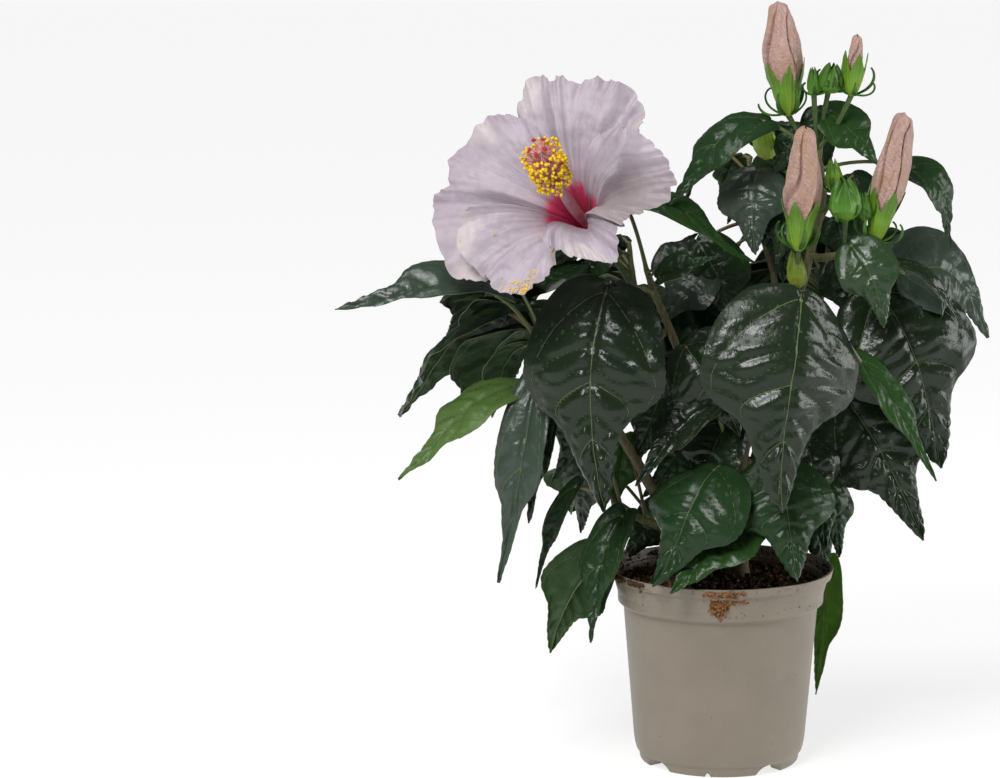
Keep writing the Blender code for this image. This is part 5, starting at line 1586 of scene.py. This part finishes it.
def add_bracts(piece, base, axis, radius, length, count, material, curl, seed):
    """Narrow leaflets under the calyx that stand out and hook up at their ends."""
    forward, above, beside = axis_frame(axis)
    rng = np.random.default_rng(seed)
    t = np.linspace(0, 1, 20)
    wide = 1.5 * np.sin(np.pi * np.clip(t * 0.88 + 0.12, 0, 1))[:, None] ** 0.7 * MM
    for number in range(count):
        turn = 2 * np.pi * (number + 0.3) / count + rng.uniform(-0.3, 0.3)
        out = above * math.cos(turn) + beside * math.sin(turn)
        side = np.cross(forward, out)
        bend = np.radians(rng.uniform(45, 95) - curl * rng.uniform(0.6, 1.3) * t ** 2.2)[1:]
        step = length * rng.uniform(0.75, 1.2) / 19
        away, rise = running(np.sin(bend) * step), running(np.cos(bend) * step)
        spine = (np.array(base) + (out * (radius * 0.35 + away)[:, None]
                                   + forward * (0.8 + rise)[:, None]
                                   + side * (rng.uniform(-3, 3) * t ** 2)[:, None]) * MM)
        normal = unit(np.cross(side, np.gradient(spine, axis=0)))
        strip = np.stack([spine + side * wide * share + normal * lift * MM for share, lift in
                          ((-1, 0.45), (-0.5, 0), (0, -0.25), (0.5, 0), (1, 0.45))], 1)
        piece.add_grid(strip, material)
        piece.add_grid(strip - normal[:, None] * 0.4 * MM, material, flip=True)


def add_furled(piece, base, axis, length, radius, material, phase):
    """Furled petals: rolled edges wind up the bud, deep grooves beside them, to a pinched tip."""
    sides = 160
    share = np.linspace(0.10, 1, 66)[:, None]
    turns = circle(sides)[None, :]
    around = turns + 0.35 * np.sin(turns + phase * 9)
    winding = 0.50 * share + 0.14 * np.sin(7 * share + phase * 5)
    winding = winding + 1.6 * np.maximum(share - 0.86, 0)
    wound = (around * 4 / (2 * np.pi) + winding + phase
             + 0.16 * np.sin(2 * turns + phase * 9) * np.sin(6 * share + phase)) % 1.0
    roll = (0.13 * hill(wound, 0.17, 0.10) + 0.06 * (1 - wound)
            - 0.17 * hill(wound, 0, 0.05) - 0.17 * hill(wound, 1, 0.035))
    crimp = (0.022 * np.sin(17 * turns + 5 * share + phase) * np.sin(23 * share + 3 * turns)
             + 0.014 * np.sin(29 * turns + 24 * share) * np.sin(11 * share - 5 * turns)
             + 0.010 * np.sin(9 * turns + 31 * share + phase * 3)
             + 0.025 * np.sin(3 * turns + 9 * share + phase * 2)
             + 0.10 * share ** 14 * np.sin(4 * turns + 40 * share))
    depth = 0.95 + roll * (0.6 + 0.7 * share) * (1 - 0.6 * share ** 12) + crimp
    radii = radius * np.interp(share, *FURLED) * depth
    heights = length * share * np.ones_like(turns) + 0.9 * np.sin(turns + phase) * share ** 8
    bow = radius * 0.16 * np.sin(np.pi * (share - 0.1)) * math.cos(phase * 11)
    grid = turned_grid(base, axis, heights, radii, sides)
    grid = grid + axis_frame(axis)[2] * (bow * MM)[..., None]
    place = np.stack(np.broadcast_arrays(wound, share, turns), -1)
    piece.add_grid(grid, material, closed=True, place=place)


def make_buds(paths, stems, twigs):
    """The closed buds, the flower's calyx and the stalks of both, each kind joined."""
    cups = {look[0]: calyx_material(*look) for look in (
        ("green", (0.125, 0.270, 0.020), (0.240, 0.390, 0.030)),
        ("pale", (0.260, 0.420, 0.045), (0.350, 0.500, 0.070)),
        ("olive", (0.120, 0.180, 0.014), (0.190, 0.240, 0.018)),
        ("deep", (0.060, 0.170, 0.015), (0.120, 0.270, 0.022)))}
    sappy = bark_material("sappy_bark", (0.030, 0.070, 0.016), (0.080, 0.130, 0.030),
                          (0.12, 0.10, 0.04))
    leafy, silky = bract_material(), bud_petal_material()
    green, furled, bracts = Piece("calyces"), Piece("furled_petals"), Piece("bracts")
    for seed, (stem, root, base, tip, petals, cup_length, cup_radius, count, cup,
               phase) in enumerate(BUDS):
        base, tip = metres(base), metres(tip)
        axis = (tip - base).normalized()
        root, _ = along(stems[stem], root)
        bow = (root + base) / 2 - axis * (base - root).length * 0.12
        add_stem(twigs, [root, bow, base, base + axis * 2 * MM], (1.5, 1.25, 1.7), sappy, seed + 80,
                 12, 1.2, 40.0)
        length = (tip - base).length / MM
        add_calyx(green, base, axis, cup_length, cup_radius, cups[cup],
                  (length, petals) if petals else None, phase=phase)
        if petals:
            add_furled(furled, base, axis, length, petals, silky, seed * 0.37)
        add_bracts(bracts, base, axis, cup_radius, 20 if petals else 12, count, leafy, 120,
                   seed + 3)
    axis = Vector(FLOWER_AXIS).normalized()
    foot = metres(FLOWER_BASE) - axis * 7 * MM
    add_calyx(green, foot, axis, 27, 7.2, cups["green"], (0, 0), 1.15)
    add_bracts(bracts, foot, axis, 6.5, 15, 7, leafy, 100, 31)
    stalk = shoot_path(paths["bough_flower"], LIMBS["bough_flower"].radii, 0.8, FLOWER_STALK, 1.7)
    add_stem(twigs, stalk + [metres(FLOWER_BASE) - axis * 6 * MM], (1.9, 1.5, 1.7), sappy, 97, 14,
             1.2, 60.0)
    for piece in (green, furled):
        piece.finish("bud", *BUD_STEMS, "foliage_crown")
    bracts.finish("bud", *BUD_STEMS)


# ---- Stage ----

FLOOR_GLOW = 0.76


def make_stage():
    """A glowing white floor, a dim dome, a soft sun and two lamps, and the camera."""
    nodes = Nodes("floor_white", 0.6, (0.32, 0.32, 0.32), Specular_IOR_Level=0.0,
                  Emission_Strength=FLOOR_GLOW)
    nearness = nodes.times(nodes.node("SeparateXYZ", Vector=nodes.place()).outputs["Y"], -1.0)
    nodes.shade(Emission_Color=nodes.ramp(nearness, (0.0, 1.0), (1.0, FLOOR_GLOW)))
    nodes.lumps(0.05, 2.0, 0.0003, 0.2)
    mesh = bpy.data.meshes.new("floor")
    half = 40.0
    mesh.from_pydata([(-half, -half, 0), (half, -half, 0), (half, half, 0), (-half, half, 0)], [],
                     [(0, 1, 2, 3)])
    mesh.materials.append(nodes.material)
    floor = linked("floor", mesh)
    world = bpy.data.worlds.new("studio")
    world.use_nodes = True
    tree = world.node_tree
    way, dome, place = (tree.nodes.new("ShaderNode" + kind)
                        for kind in ("SeparateXYZ", "ValToRGB", "TexCoord"))
    set_ramp(dome, ((0.0, 0.20), (0.30, (0.10, 0.10, 0.105))))
    for source, socket in ((place.outputs["Generated"], way.inputs["Vector"]),
                           (way.outputs["Z"], dome.inputs["Fac"]),
                           (dome.outputs["Color"], tree.nodes["Background"].inputs["Color"])):
        tree.links.new(source, socket)
    scene = bpy.context.scene
    scene.world = world
    for name, kind, place, size, power in (
            ("sky", "SUN", (-0.6, -0.5, 1.9), math.radians(30), 1.4),
            ("key", "AREA", (-0.48, -1.35, 1.42), 0.62, 24),
            ("right", "AREA", (1.50, 0.05, 0.50), 0.80, 11)):
        lamp = bpy.data.lights.new(name, kind)
        lamp.energy = power
        setattr(lamp, "angle" if kind == "SUN" else "size", size)
        light = linked(name, lamp)
        light.location = place
        towards = Vector((0, 0, 0.2)) - Vector(place)
        light.rotation_euler = towards.to_track_quat("-Z", "Y").to_euler()
    lens = bpy.data.cameras.new("camera")
    lens.lens = 140
    lens.sensor_width = 36
    lens.clip_start = 0.05
    camera = linked("camera", lens)
    camera.location = (0, -2.2, 0.590)
    camera.rotation_euler = (math.radians(90 - 9.63), 0, math.radians(3.32))
    scene.camera = camera
    scene.view_settings.view_transform = "Standard"


def build():
    taken = Space()
    for name in ("pot", "soil", *LIMBS, "flower", *BUD_STEMS):
        taken.add_mesh(frame["nodes"][name].data)
    paths = limb_paths()
    stems = {}
    for name, mass in {**BUD_STEMS, **MASSES}.items():
        stems[name] = shoot_path(paths[mass.limb], LIMBS[mass.limb].radii, mass.at, mass.stem,
                                 stem_radii(mass)[0])
    for name, mass in MASSES.items():
        taken.add_mesh(square_tube(stems[name], stem_radii(mass)), name)
    leaves = plan_leaves(taken, stems)
    make_pot()
    make_soil()
    twigs = make_stems(paths, stems)
    stalks = make_foliage(leaves)
    make_buds(paths, stems, twigs)
    twigs.finish("bark", *BUD_STEMS)
    stalks.finish("leaf")
    make_column(make_petals())
    make_stage()


build()
